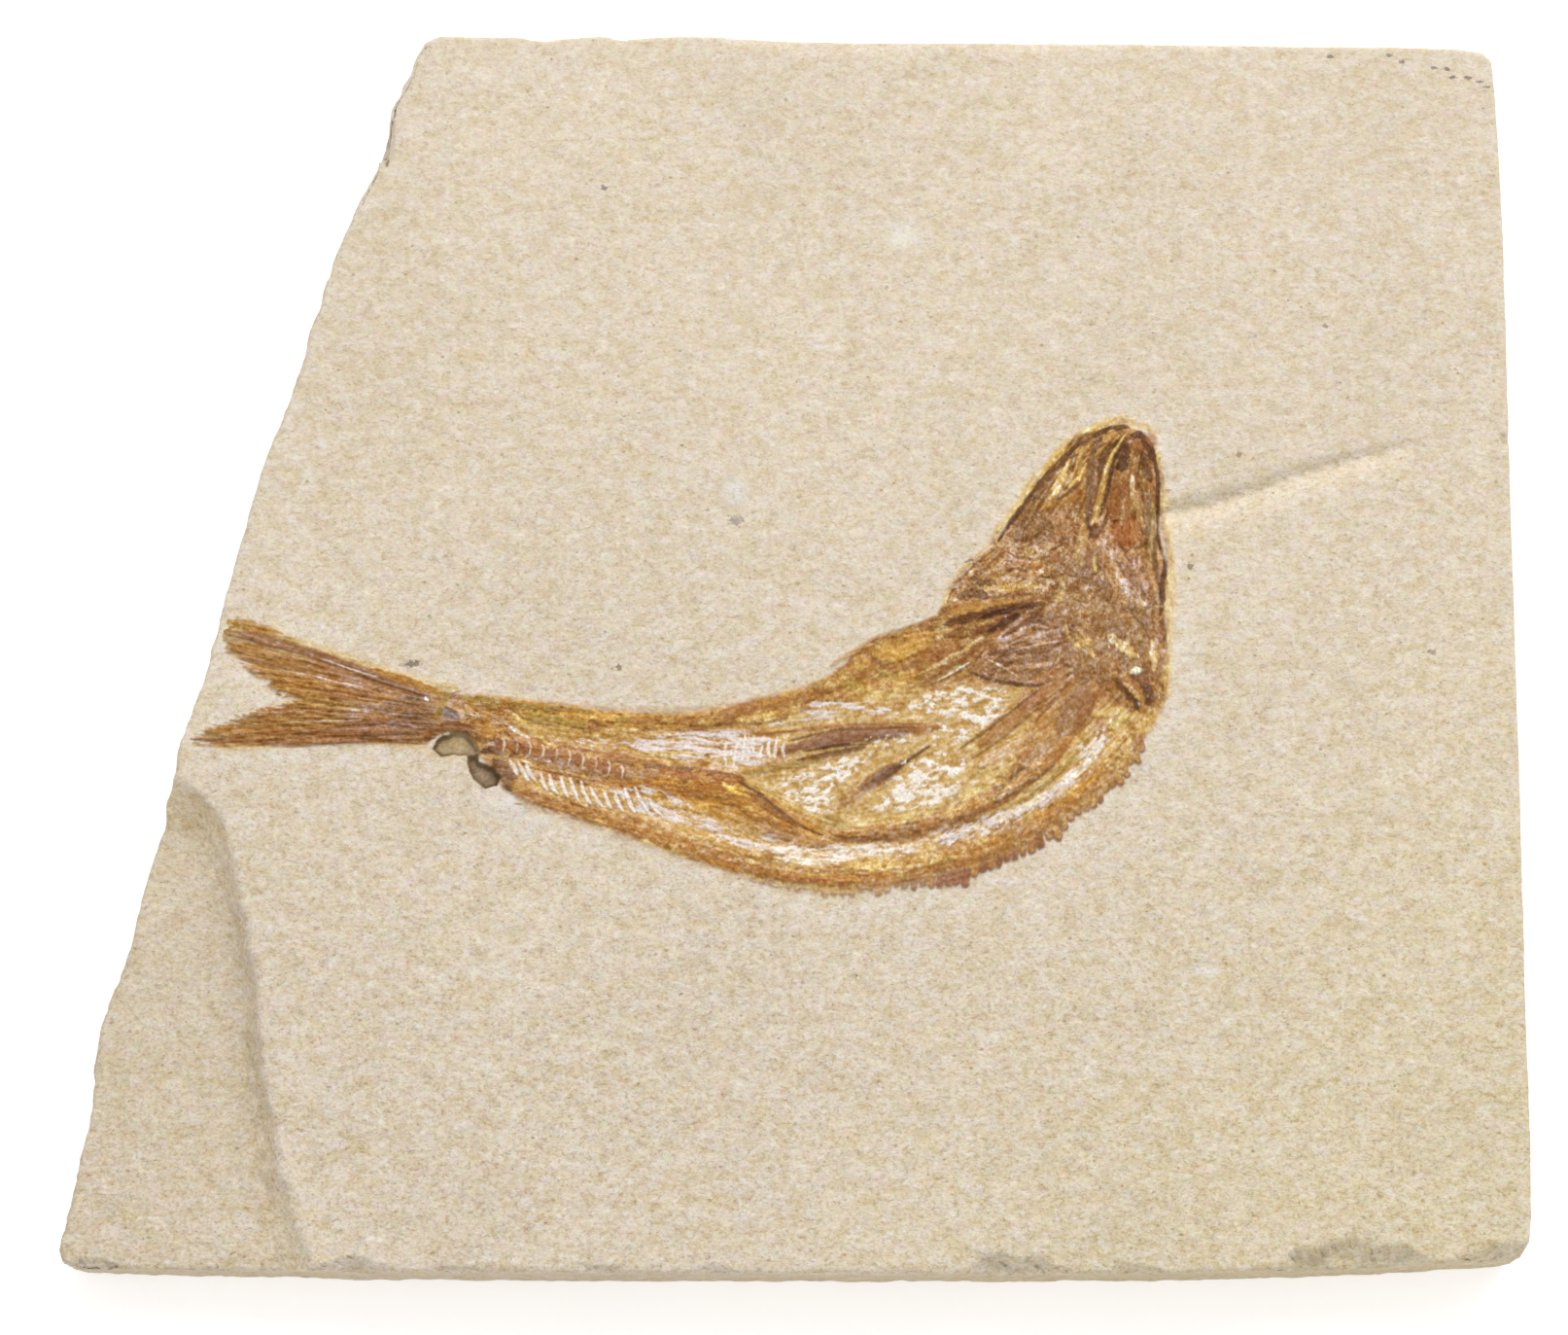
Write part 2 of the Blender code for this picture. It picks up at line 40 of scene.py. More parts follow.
print("frame loaded:", sorted(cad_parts))


def pairs(*numbers):
    # points from their numbers, x and y by turns
    return list(zip(numbers[::2], numbers[1::2]))


# plan of the slab, in millimetres
slab = {
    "thickness": 9.0,
    "centre": (-0.24, 0.20),      # middle of the outline, which stands over the origin
    "tierDrop": 2.2,
    "furrowDepth": 0.5,
    "rimInset": 0.30,             # where the face stops and the rounded rim begins
    "under": 0.02,                # how far the whole face lies under its drawn height
    "swell": 0.05,                # slow rise and fall of the face
    "pitted": 0.022,              # small roughness of the face
    "columns": 300, "rows": 238,
    "ledgeColumns": 64,           # columns left of the ledge's rim
}

slabOutline = pairs(
    -26.7, 42.4, -26.2, 43.3, -25.2, 43.75, -20, 43.7, -17.5, 43.5, -14, 43.75, -12, 43.55, -8, 43.75,
    -4, 43.7, -1.5, 43.5, 5.5, 43.35, 19, 43.3, 33, 43.1, 46.5, 42.85, 48.3, 42.6, 49, 41.9, 49.25, 38,
    49.55, 29, 49.65, 12, 49.85, -6, 50, -28, 50.12, -34, 50.05, -39.5, 49.9, -41.2, 49.4, -42.1, 48.4,
    -42.35, 40, -42.85, 34, -43.1, 26, -43.3, 5, -43.35, -15, -43.3, -31.5, -43.2, -36, -43, -45, -42.9,
    -49.2, -42.75, -50.3, -42.4, -50.6, -41.4, -49.8, -37.5, -49.2, -34.8, -48.5, -31.6, -48.4, -29.2,
    -48.1, -26.5, -47, -23.2, -46.1, -20.4, -44.8, -15.5, -43.9, -12.6, -43.6, -10.5, -43, -8.8, -43,
    -7.3, -42, -4.6, -41, -1.9, -39.6, 3.7, -37.4, 12, -35.5, 17.5, -34, 22.6, -32.4, 27.6, -30.8, 31.5,
    -29.5, 34.3, -28.8, 37.1, -28.5, 38.3, -27.2, 41.2)
corners = {"backLeft": (-26.5, 43.0), "backRight": (48.9, 42.1), "frontRight": (49.7, -41.9),
           "frontLeft": (-50.45, -42.2)}

ledge = {
    "wander": 0.22,
    "rim": pairs(
        -48, -5.5, -44.2, -8.2, -43.1, -8.9, -42, -9.8, -41, -10.6, -40.2, -11.3, -39.6, -12.4, -39.1,
        -14.3, -38.4, -17, -37.7, -20.2, -37.2, -23.5, -36.9, -26.2, -36.5, -29.5, -36, -32.6, -35.3,
        -36, -34.4, -38.8, -33.6, -41.2, -32.8, -44.6),
    "foot": pairs(
        -52, -10, -45.6, -13, -44.4, -13.6, -43.2, -14, -42.1, -14.6, -41.3, -15.4, -40.6, -16.4, -40,
        -17.8, -39.5, -19.8, -39, -22.3, -38.7, -24.9, -38.5, -27.6, -38.4, -30.4, -38.2, -33.4, -37.9,
        -36.6, -37.6, -39.4, -37.2, -42, -36.9, -44.8),
}

# bottom of the furrow, then its back and front widths and its share of the depth
furrow = (
    (23, 9, 1, 1.8, 0.9), (25.2, 9.4, 1, 1.9, 0.95), (28.5, 10, 1, 2, 1), (31.8, 11, 1, 2.1, 1),
    (35, 12.2, 0.9, 2.1, 0.95), (38.2, 13.1, 0.9, 1.9, 0.85), (41.2, 13.8, 0.8, 1.4, 0.6),
    (43.8, 14.5, 0.4, 0.6, 0.05))

# x, y, half width, reach inwards, drop, turn in degrees
flakes = (
    (-30.6, -43.3, 2.5, 1, 1.3, 3), (-23.1, -43.4, 1.4, 0.5, 0.9, -4), (-13.3, -43.4, 1.5, 0.5, 0.8, 0),
    (-6, -43.4, 2.1, 0.4, 0.9, 2), (2, -43.5, 1.8, 0.35, 0.8, 0), (7.6, -43.5, 1.7, 0.35, 0.8, 0),
    (14.9, -43.5, 3.6, 1.25, 1.7, -6), (23.6, -43.4, 2.3, 0.45, 1, -8), (35.2, -43, 2, 1.35, 1.5, 8),
    (37.6, -43.1, 2.2, 2, 1.3, 0), (40.9, -43, 2.1, 1.3, 1.6, -10), (47.9, -42.6, 2.6, 1, 1.4, 14),
    (-48.2, -42.9, 2, 0.7, 4, -8), (49.9, 14.8, 0.85, 0.25, 1.2, 15), (-29.1, 36.2, 1.7, 0.75, 2.6, 80),
    (-18, 43.8, 1.6, 0.5, 0.8, 0), (-12.3, 43.8, 1.2, 0.5, 0.7, 0))
backSlope = {
    "edge": 43.9, "drop": 0.55, "start": 0.6,
    "reach": pairs(
        -5, 0.1, -2.5, 0.6, 0.5, 1.2, 2.5, 1.35, 5, 0.8, 7.5, 1.2, 10, 0.6, 13.5, 0.8, 17.5, 1, 21, 0.5,
        30, 0.55, 38, 0.35, 46, 0.1),
}

# cross-sections of the fish from snout to tail root: back x, y, then belly x, y
fishSections = (
    (22.5, 15.6, 24, 15.2), (20.6, 15.2, 24.7, 14.2), (19.2, 14.5, 25, 13), (18.1, 13.4, 25.2, 11.6),
    (17, 12, 25.2, 10), (15.9, 10.3, 25.1, 8.3), (14.8, 8.8, 25.3, 6.6), (13.9, 7.3, 25.7, 4.8),
    (12.6, 6, 25.4, 2.8), (11.5, 4.9, 25.5, 0.4), (10.8, 4, 25.5, -2.4), (10.3, 3, 24.9, -5),
    (9.8, 2.2, 22.8, -7.6), (8.4, 1.5, 20.2, -10.3), (6.6, 0.8, 16.9, -12.8), (4.7, 0, 13, -14.8),
    (3, -1.6, 9.8, -15.9), (1.2, -2.8, 6.8, -16.5), (-0.8, -3.4, 3.8, -16.9), (-2.8, -3.9, 0.6, -16.7),
    (-4.8, -4.4, -2.6, -16.1), (-7.2, -4.8, -6, -15.2), (-9.8, -4.9, -9.4, -14),
    (-12.6, -4.75, -12.4, -12.9), (-15.2, -4.4, -15, -12), (-17.6, -4.1, -17.4, -11.2),
    (-19.6, -3.9, -19.4, -10.4), (-21, -3.7, -20.3, -9.6), (-21.8, -3.6, -20.9, -8.5),
    (-22.6, -3.55, -21.9, -7.5), (-23.3, -3.5, -22.5, -6.4), (-24, -3.35, -23.6, -5.8),
    (-24.8, -3.15, -24.7, -6.1), (-26.2, -2.75, -26.4, -6.9))
tailUpper = pairs(-28.5, -1.95, -31.5, -0.85, -34.5, 0.3, -37, 1.1, -38.6, 1.55, -39.3, 1.6)
tailLower = pairs(-29.5, -6.6, -32.5, -6.5, -36.5, -6.85, -39.5, -7, -41.6, -6.95)
tailTips = pairs(
    -39.6, 1.3, -39.7, 0.7, -39.5, 0.1, -39, -0.4, -38.4, -0.9, -38.2, -1.6, -37.2, -2.2, -37, -2.8,
    -35.6, -3.3, -34.3, -3.75, -36.2, -4.2, -37.6, -4.6, -38.8, -5.1, -40, -5.6, -41.2, -6.1, -42, -6.6)


def toWorld(x, y, z):
    return np.stack(((x - slab["centre"][0]) * mm, (y - slab["centre"][1]) * mm, z * mm), -1)


def smooth(low, high, value):
    t = np.clip((value - low) / (high - low), 0.0, 1.0)
    return t * t * (3.0 - 2.0 * t)


def noise(x, y, seed, octaves=1, gain=0.5):
    # value noise on a seeded lattice, from -1 to 1
    table = np.random.default_rng(seed).random((256, 256)) * 2.0 - 1.0
    total, strength, reach = 0.0, 1.0, 0.0
    for octave in range(octaves):
        px, py = x * 2.0 ** octave + 17.3 * octave, y * 2.0 ** octave - 9.1 * octave
        ix, iy = np.floor(px).astype(int), np.floor(py).astype(int)
        fx, fy = px - ix, py - iy
        fx, fy = fx * fx * (3 - 2 * fx), fy * fy * (3 - 2 * fy)
        a, b = table[ix & 255, iy & 255], table[(ix + 1) & 255, iy & 255]
        c, d = table[ix & 255, (iy + 1) & 255], table[(ix + 1) & 255, (iy + 1) & 255]
        total = total + strength * (a + (b - a) * fx + (c - a) * fy + (a - b - c + d) * fx * fy)
        reach += strength
        strength *= gain
    return total / reach * 1.6


def curveThrough(points, samples):
    # Catmull-Rom through the points
    p = np.array(points, dtype=float)
    p = np.vstack((2 * p[0] - p[1], p, 2 * p[-1] - p[-2]))
    rows = []
    for i in range(1, len(p) - 2):
        for t in np.arange(samples) / samples:
            rows.append(0.5 * (2 * p[i] + (p[i + 1] - p[i - 1]) * t
                               + (2 * p[i - 1] - 5 * p[i] + 4 * p[i + 1] - p[i + 2]) * t ** 2
                               + (3 * p[i] - 3 * p[i + 1] + p[i + 2] - p[i - 1]) * t ** 3))
    rows.append(p[-2])
    return np.array(rows)


def lengths(points):
    return np.concatenate(([0.0], np.cumsum(np.hypot(*np.diff(points[:, :2], axis=0).T))))


def nearestOn(x, y, line, closed=False):
    # distance to a polyline, side of it (1 on its left, -1 on its right), place along it
    p = np.array(line, dtype=float)[:, :2]
    if closed:
        p = np.vstack((p, p[:1]))
    along = lengths(p)
    best = np.full(x.shape, 1e9)
    side, where = np.ones(x.shape), np.zeros(x.shape)
    for i in range(len(p) - 1):
        dx, dy = p[i + 1] - p[i]
        size = dx * dx + dy * dy
        if size < 1e-12:
            continue
        t = np.clip(((x - p[i, 0]) * dx + (y - p[i, 1]) * dy) / size, 0.0, 1.0)
        ox, oy = x - p[i, 0] - t * dx, y - p[i, 1] - t * dy
        d = ox * ox + oy * oy
        nearer = d < best
        best = np.where(nearer, d, best)
        side = np.where(nearer, np.where(dx * oy - dy * ox >= 0, 1.0, -1.0), side)
        where = np.where(nearer, along[i] + t * math.sqrt(size), where)
    return np.sqrt(best), side, where


def insideOf(x, y, polygon):
    p = np.array(polygon, dtype=float)
    inside = np.zeros(x.shape, dtype=bool)
    for (ax, ay), (bx, by) in zip(p, np.roll(p, -1, axis=0)):
        crosses = (ay > y) != (by > y)
        if by != ay:
            inside ^= crosses & (x < (bx - ax) * (y - ay) / (by - ay) + ax)
    return inside


def depthInside(x, y, polygon):
    # distance to the polygon's edge, positive inside
    d, _, _ = nearestOn(x, y, polygon, closed=True)
    return np.where(insideOf(x, y, polygon), d, -d)


def ledgeLine(name, y):
    # x of the ledge's rim or foot, with the small wander that the break has
    line = np.array(ledge[name])
    return np.interp(-y, -line[:, 1], line[:, 0]) + ledge["wander"] * noise(y * 0.8, 0.0, 11, 4, 0.7)


def ledgeShare(x, y):
    # 0 on the upper layer, 1 on the lower one, and between them the way down the broken slope
    near = (x < -28.0) & (y < -5.6)
    result = np.zeros(x.shape)
    px, py = x[near], y[near]
    shifted = px - ledgeLine("rim", py) + np.interp(-py, *zip(*[(-b, a) for a, b in ledge["rim"]]))
    toRim, _, _ = nearestOn(shifted, py, ledge["rim"])
    toFoot, _, _ = nearestOn(shifted, py, ledge["foot"])
    share = np.clip(toRim / (toRim + toFoot + 1e-6), 0.0, 1.0)
    share = np.where(px < ledgeLine("foot", py), 1.0, share)
    result[near] = np.where(px > ledgeLine("rim", py), 0.0, share)
    return result


def ledgeDrop(x, y):
    share = ledgeShare(x, y)
    steps = 0.035 * np.sin(share * 23.0 + 2.5 * noise(x * 0.5, y * 0.25, 12))
    crumbly = 0.07 * noise(x * 1.6, y * 1.2, 13, 3)
    return np.clip(1.0 - (1.0 - share) ** 2.7 + (steps + crumbly) * np.sin(np.pi * share), 0.0, 1.0)


def furrowDepth(x, y):
    line = np.array(furrow)
    depth = np.zeros(x.shape)
    near = (x > 22.0) & (x < 45.0) & (y > 5.0) & (y < 18.0)
    d, side, where = nearestOn(x[near], y[near], line)
    place = lengths(line)
    back, front, share = (np.interp(where, place, line[:, k]) for k in (2, 3, 4))
    width = np.where(side > 0, back, front) * (1 + 0.12 * noise(x[near] * 0.7, y[near] * 0.7, 21, 2))
    depth[near] = share * np.clip(1 - d / width, 0, 1) ** 1.25
    depth[near] *= smooth(0.0, 1.6, 45.0 - x[near]) * smooth(43.9, 42.6, x[near])
    return depth


def faceHeight(x, y):
    # height of the stone above the underside, in millimetres
    h = slab["thickness"] - 0.06 + slab["swell"] * noise(x / 14.0, y / 11.0, 31, 2)
    h = h + slab["pitted"] * noise(x * 1.1, y * 1.5, 32, 3, 0.65)
    drop = ledgeDrop(x, y)
    h = h - slab["tierDrop"] * drop + 0.07 * drop * noise(x / 5.0, y / 4.0, 33, 3)
    h = h - slab["furrowDepth"] * furrowDepth(x, y)
    inner = backSlope["edge"] - backSlope["start"] - np.interp(x, *zip(*backSlope["reach"]))
    inner = inner + 0.12 * noise(x * 0.8, y * 0.8, 34, 2)
    slope = (y - inner) / (backSlope["edge"] - inner)
    h = np.where((x > -5.0) & (x < 46.5), h - backSlope["drop"] * np.clip(slope, 0, 1), h)
    for i, (fx, fy, halfWidth, reach, fall, turn) in enumerate(flakes):
        angle = math.radians(turn)
        near = (np.abs(x - fx) < 5.0) & (np.abs(y - fy) < 5.0)
        dx, dy = x[near] - fx, y[near] - fy
        rag = 1.0 + 0.30 * noise(x[near] * 1.5, y[near] * 1.5, 40 + i, 4, 0.65)
        across = (dx * math.cos(angle) + dy * math.sin(angle)) / halfWidth * rag
        inwards = (dy * math.cos(angle) - dx * math.sin(angle)) / reach * rag
        round2 = across ** 2 + inwards ** 2
        scoop = slab["thickness"] + 0.15 - fall * np.sqrt(np.clip(1.0 - round2, 0.0, 1.0))
        scoop = scoop + 0.08 * np.sin(11.0 * np.sqrt(round2) + 5.0 * rag) * fall
        h[near] = np.where(round2 < 1.0, np.minimum(h[near], scoop), h[near])
    return h


# the fish and the patch that carries it
sectionLine = curveThrough(fishSections, 12)
fishEdge = np.vstack((sectionLine[:, 2:], tailLower, tailTips[::-1], tailUpper[::-1],
                      sectionLine[::-1, :2]))

patch = {
    "columns": 214, "rows": 440,     # of each of its parts
    "margin": 1.6,       # stone round the bone that belongs to the patch
    "proud": 0.015,      # how far that stone stands over the slab's face
    "tuck": 0.07,        # how far the patch's border dips under the face
    "hollow": 1.45,      # how deep the slab's own face is sunk under the patch
    "foot": 7.95,        # height of the patch's underside
    "tailEnd": ((-30.0, -1.4, -30.0, -6.6), (-34.0, 0.1, -34.5, -6.7), (-37.5, 1.2, -39.2, -6.9)),
    "firstRows": ((21.6, 17.6, 25.6, 17.0), (20.7, 17.1, 26.2, 16.1)),
    "lastRow": (-39.3, 2.9, -42.5, -8.3),
    "rootBelly": pairs(
        -19.4, -10.8, -20.5, -10.5, -21.3, -10.1, -22.2, -9.6, -23, -9, -23.9, -8.4, -24.9, -7.8, -26.5,
        -7.2),
}


def patchFrame():
    # each row runs from beyond the back edge to beyond the belly edge
    root = [a[:2] + b for a, b in zip(fishSections[26:], patch["rootBelly"])]
    rows = np.array([*fishSections[1:26:2], *root[::2], *patch["tailEnd"]])
    for k, turn in ((0, 1.0), (2, -1.0)):
        run = np.gradient(rows[:, k:k + 2], axis=0)
        for _ in range(2):
            run[1:-1] = (run[:-2] + 2 * run[1:-1] + run[2:]) / 4
        run = run / np.hypot(*run.T)[:, None]
        rows[:, k:k + 2] += turn * patch["margin"] * np.stack((run[:, 1], -run[:, 0]), 1)
    fine = curveThrough((*patch["firstRows"], *rows, patch["lastRow"]), 30)
    return fine, 0.45 * lengths(fine[:, :2]) + 0.55 * lengths(fine[:, 2:])


patchLines, patchPlace = patchFrame()


def patchRowsAt(start, end, count):
    want = np.linspace(start, end, count) * patchPlace[-1]
    return np.stack([np.interp(want, patchPlace, patchLines[:, k]) for k in range(4)], 1), want


rowsOfBorder, _ = patchRowsAt(0.0, 1.0, 130)
patchBorder = np.vstack((rowsOfBorder[:, 2:], rowsOfBorder[::-1, :2]))
print("patch laid out, length:", round(float(patchPlace[-1]), 1))

# colours of the fish as seen in plain light; linear() divides them by the strength of the light
paints = {
    "umber": (96, 58, 28), "darkBrown": (122, 76, 36), "brown": (148, 94, 46),
    "redBrown": (156, 94, 50), "chestnut": (172, 110, 52), "rust": (168, 97, 48),
    "amber": (190, 132, 50), "honey": (204, 158, 86), "straw": (221, 186, 112), "halo": (226, 193, 118),
    "ochre": (208, 171, 98), "olive": (166, 130, 54), "darkOlive": (132, 100, 44),
    "tan": (196, 150, 92), "sand": (218, 182, 128), "rose": (192, 143, 98), "paleRose": (214, 176, 142),
    "mauve": (156, 114, 80), "darkMauve": (124, 86, 60), "grey": (168, 134, 98),
    "blueGrey": (138, 124, 120), "pearl": (240, 220, 202), "white": (252, 246, 240),
    "lilac": (238, 226, 226), "pitTan": (206, 184, 142), "pitBrown": (176, 152, 124),
    "pitDark": (104, 80, 50)}
lightStrength = 1.25


def linear(colour):
    c = np.array(colour, dtype=float) / 255.0
    return np.where(c <= 0.04045, c / 12.92, ((c + 0.055) / 1.055) ** 2.4) / lightStrength


sheet = {"x": (-44.0, 28.0), "y": (-19.0, 18.5), "step": 0.05}
sheetX = np.arange(sheet["x"][0], sheet["x"][1] + 1e-6, sheet["step"])
sheetY = np.arange(sheet["y"][0], sheet["y"][1] + 1e-6, sheet["step"])
gridX, gridY = np.meshgrid(sheetX, sheetY, indexing="ij")
art = {"colour": np.zeros(gridX.shape + (3,)), "alpha": np.zeros(gridX.shape),
       "lift": np.zeros(gridX.shape), "gloss": np.zeros(gridX.shape)}


def window(points, margin):
    # the part of the sheet round some points
    p = np.array(points, dtype=float)
    slices = []
    for k, name in enumerate("xy"):
        low = max(int((p[:, k].min() - margin - sheet[name][0]) / sheet["step"]), 0)
        high = int((p[:, k].max() + margin - sheet[name][0]) / sheet["step"]) + 2
        slices.append(slice(low, max(high, low + 1)))
    return tuple(slices)


def lay(place, cover, paint, opacity=1.0, lift=0.0, gloss=None, grow=False):
    # paint over a part of the sheet; grow makes bone where there was bare stone
    weight = np.clip(cover * opacity, 0.0, 1.0)
    colour, alpha = art["colour"][place], art["alpha"][place]
    if grow:
        after = weight + alpha * (1 - weight)
        share = weight / np.maximum(after, 1e-6)
        art["alpha"][place] = after
    else:
        share = weight
    art["colour"][place] = colour + (linear(paints[paint]) - colour) * share[..., None]
    if lift:
        art["lift"][place] += cover * lift
    if gloss is not None:
        art["gloss"][place] += (gloss - art["gloss"][place]) * weight


def stroke(paint, opacity, lift, width, points, soft=0.32, rag=0.38, taper=0.7, gloss=None, grow=False):
    # one brush stroke through the points, with a ragged edge and thin ends
    line = curveThrough(points, 5) if len(points) > 2 else np.array(points, dtype=float)
    place = window(line, width * (1 + soft) * 1.3 + 0.1)
    x, y = gridX[place], gridY[place]
    if x.size == 0:
        return
    seed = int(abs(points[0][0] * 131 + points[-1][1] * 37)) + 100
    d, _, where = nearestOn(x, y, line)
    total = lengths(line)[-1] + 1e-6
    ends = np.sqrt(np.clip(np.sin(np.pi * np.clip(where / total, 0.0, 1.0)), 0.0, 1.0))
    half = width * (1 - taper + taper * ends)
    if rag:
        half = half * (1 + rag * (noise(x * 2.6, y * 2.6, seed, 3, 0.65) + 0.35 * longFibre[place]))
    cover = 1 - smooth(1 - soft, 1 + soft, d / np.maximum(half, 1e-3))
    lay(place, cover, paint, opacity, lift, gloss, grow)


def highlightFlecks(paint, angle, size, share, stretch, crisp, outline, seed):
    # painted highlights: broken pale patches where the varnish catches the light, drawn out along one
    # direction, with seams between their plates
    place = window(outline, 0.4)
    x, y = gridX[place], gridY[place]
    turn = math.radians(angle)
    along = (x * math.cos(turn) + y * math.sin(turn)) / (size * stretch)
    across = (y * math.cos(turn) - x * math.sin(turn)) / size
    seam, own = shards(along * 1.3 + 0.4 * noise(across, along, seed), across * 1.1, seed)
    value = noise(along, across, seed, 4, 0.62) + 0.5 * crisp * (own - 0.5) + 0.05 * shortFibre[place]
    depth = depthInside(x, y, outline)
    level = np.quantile(value[depth > 0], 1 - share)
    value = value + 0.3 * np.clip(depth / 0.6 - 1, -1, 0)
    inside = smooth(-0.25, 0.15, depth)
    edge = 0.02 + 0.12 * (1 - crisp)
    lay(place, smooth(level - 0.2, level, value) * inside, "pearl", 0.35)
    cover = smooth(level - edge, level + edge, value) * inside
    lay(place, cover * (1 - 0.5 * crisp * smooth(0.09, 0.0, seam)), paint, 0.97, 0.03, 1.0)


# the way the bone's fibres run
grainLines = (
    (23, 15.6, 20.4, 14.6, 18.4, 12.8, 16.4, 10.6, 14.8, 8.4, 12.2, 5),
    (22.9, 14.8, 21.6, 12, 20.8, 9.2, 20.6, 6), (24.6, 14.6, 25.1, 11, 25.1, 6),
    (23.4, 11.8, 23.4, 8, 23.8, 5), (19.6, 12.4, 17.4, 9, 15.6, 7),
    (16.6, 2.9, 13.2, 1.9, 10, 1, 6, 0.2, 3, -1), (18.4, 0.6, 15, -0.8, 12, -2.2),
    (25.3, 3, 25.4, -1, 25.2, -3.4), (20.6, -2.6, 17.4, -5.2, 12, -8, 9, -9.2),
    (21.6, -3.8, 18.6, -7, 14.8, -9.6, 10, -11.6), (14.6, -3.4, 9, -4.4, 2, -5),
    (8.6, -5.7, 4, -6.1, 0, -6.9, -4, -8.4), (9, -6.9, 6, -8.7, 3.4, -10.8),
    (8, 0, 3, -2.2, -2, -4.2, -8, -5.4, -16, -4.9, -22, -4.1),
    (-1, -7.4, -7, -6.8, -14, -6.7, -19, -5.6), (-3.6, -9.1, -8, -8.8, -14, -8, -20, -6.8),
    (2, -13.1, -1.4, -11.4, -4.6, -9.8, -9, -9.6, -16, -9),
    (20, -6.2, 16, -10, 11, -12.6, 4, -13.8, -2, -13.4, -9, -11.4, -16, -10),
    (23, -6.6, 19, -10.6, 14, -13.8, 8, -15.6, 2, -16.3, -4, -15.2, -12, -12.4, -19, -10.4),
    (-25, -3.6, -31, -1.8, -39.4, 0.9), (-25, -4.6, -30, -3.4, -37, -1.6),
    (-25, -5.2, -31, -5, -38, -5), (-25, -6, -32, -6, -41.6, -6.7))


def between(layer, u, v):
    # bilinear reading of a lattice, at places counted in its steps
    u = np.clip(u, 0, layer.shape[0] - 1.001)
    v = np.clip(v, 0, layer.shape[1] - 1.001)
    i, j = u.astype(int), v.astype(int)
    fu, fv = u - i, v - j
    if layer.ndim == 3:
        fu, fv = fu[..., None], fv[..., None]
    return (layer[i, j] * (1 - fu) * (1 - fv) + layer[i + 1, j] * fu * (1 - fv)
            + layer[i, j + 1] * (1 - fu) * fv + layer[i + 1, j + 1] * fu * fv)


def fromSheet(layer, x, y):
    return between(layer, (x - sheet["x"][0]) / sheet["step"], (y - sheet["y"][0]) / sheet["step"])


def grainField():
    # doubled-angle average of the lines, on a coarse lattice
    x, y = np.meshgrid(np.arange(-44.0, 28.5, 0.5), np.arange(-19.0, 19.0, 0.5), indexing="ij")
    cosine, sine = np.zeros(x.shape), np.zeros(x.shape)
    for numbers in grainLines:
        p = curveThrough(pairs(*numbers), 4)
        for a, b in zip(p[:-1], p[1:]):
            angle = 2 * math.atan2(b[1] - a[1], b[0] - a[0])
            weight = math.hypot(*(b - a)) / ((x - a[0]) ** 2 + (y - a[1]) ** 2 + 0.15) ** 1.5
            cosine += weight * math.cos(angle)
            sine += weight * math.sin(angle)
    size = np.hypot(cosine, sine) + 1e-9
    # the lattice has the sheet's corner but ten times its step
    u = (gridX - sheet["x"][0]) / 10 + sheet["x"][0]
    v = (gridY - sheet["y"][0]) / 10 + sheet["y"][0]
    return 0.5 * np.arctan2(fromSheet(sine / size, u, v), fromSheet(cosine / size, u, v))


grainAngles = grainField()


def grainAt(x, y):
    i, j = [min(max(int((value - sheet[name][0]) / sheet["step"]), 0), count - 1)
            for value, name, count in zip((x, y), "xy", grainAngles.shape)]
    return grainAngles[i, j]


def combed(seed, passes, blur=1):
    # random dots drawn out along the grain, twice as far with each pass; spread 1 about 0
    field = np.random.default_rng(seed).normal(size=gridX.shape)
    for _ in range(blur):
        for axis in (0, 1):
            field = (np.roll(field, 1, axis) + 2 * field + np.roll(field, -1, axis)) / 4
    for turn in range(passes):
        reach = 0.7 * 2 ** turn * sheet["step"]
        dx, dy = np.cos(grainAngles) * reach, np.sin(grainAngles) * reach
        ahead = fromSheet(field, gridX + dx, gridY + dy)
        field = (ahead + fromSheet(field, gridX - dx, gridY - dy)) / 2
    return (field - field.mean()) / field.std()


longFibre, shortFibre = combed(401, 5), combed(402, 3)


def shards(u, v, seed):
    # cracked plates, about one to a unit square: nearness of the next crack, a number for each plate
    spots = np.random.default_rng(seed).random((64, 64, 3))
    i, j = np.floor(u).astype(int), np.floor(v).astype(int)
    nearest, second, own = np.full(u.shape, 9.0), np.full(u.shape, 9.0), np.zeros(u.shape)
    for di in (-1, 0, 1):
        for dj in (-1, 0, 1):
            spot = spots[(i + di) % 64, (j + dj) % 64]
            d = np.hypot(i + di + spot[..., 0] - u, j + dj + spot[..., 1] - v)
            closer = d < nearest
            second = np.where(closer, nearest, np.minimum(second, d))
            own = np.where(closer, spot[..., 2], own)
            nearest = np.minimum(d, nearest)
    return second - nearest, own


def anyOf(names, pick):
    return names[int(pick.random() * len(names))]


def scattered(outline, count, pick):
    p = np.array(outline)
    points = p.min(0) + (p.max(0) - p.min(0)) * pick.random((count * 4, 2))
    return points[insideOf(points[:, 0], points[:, 1], outline)][:count]


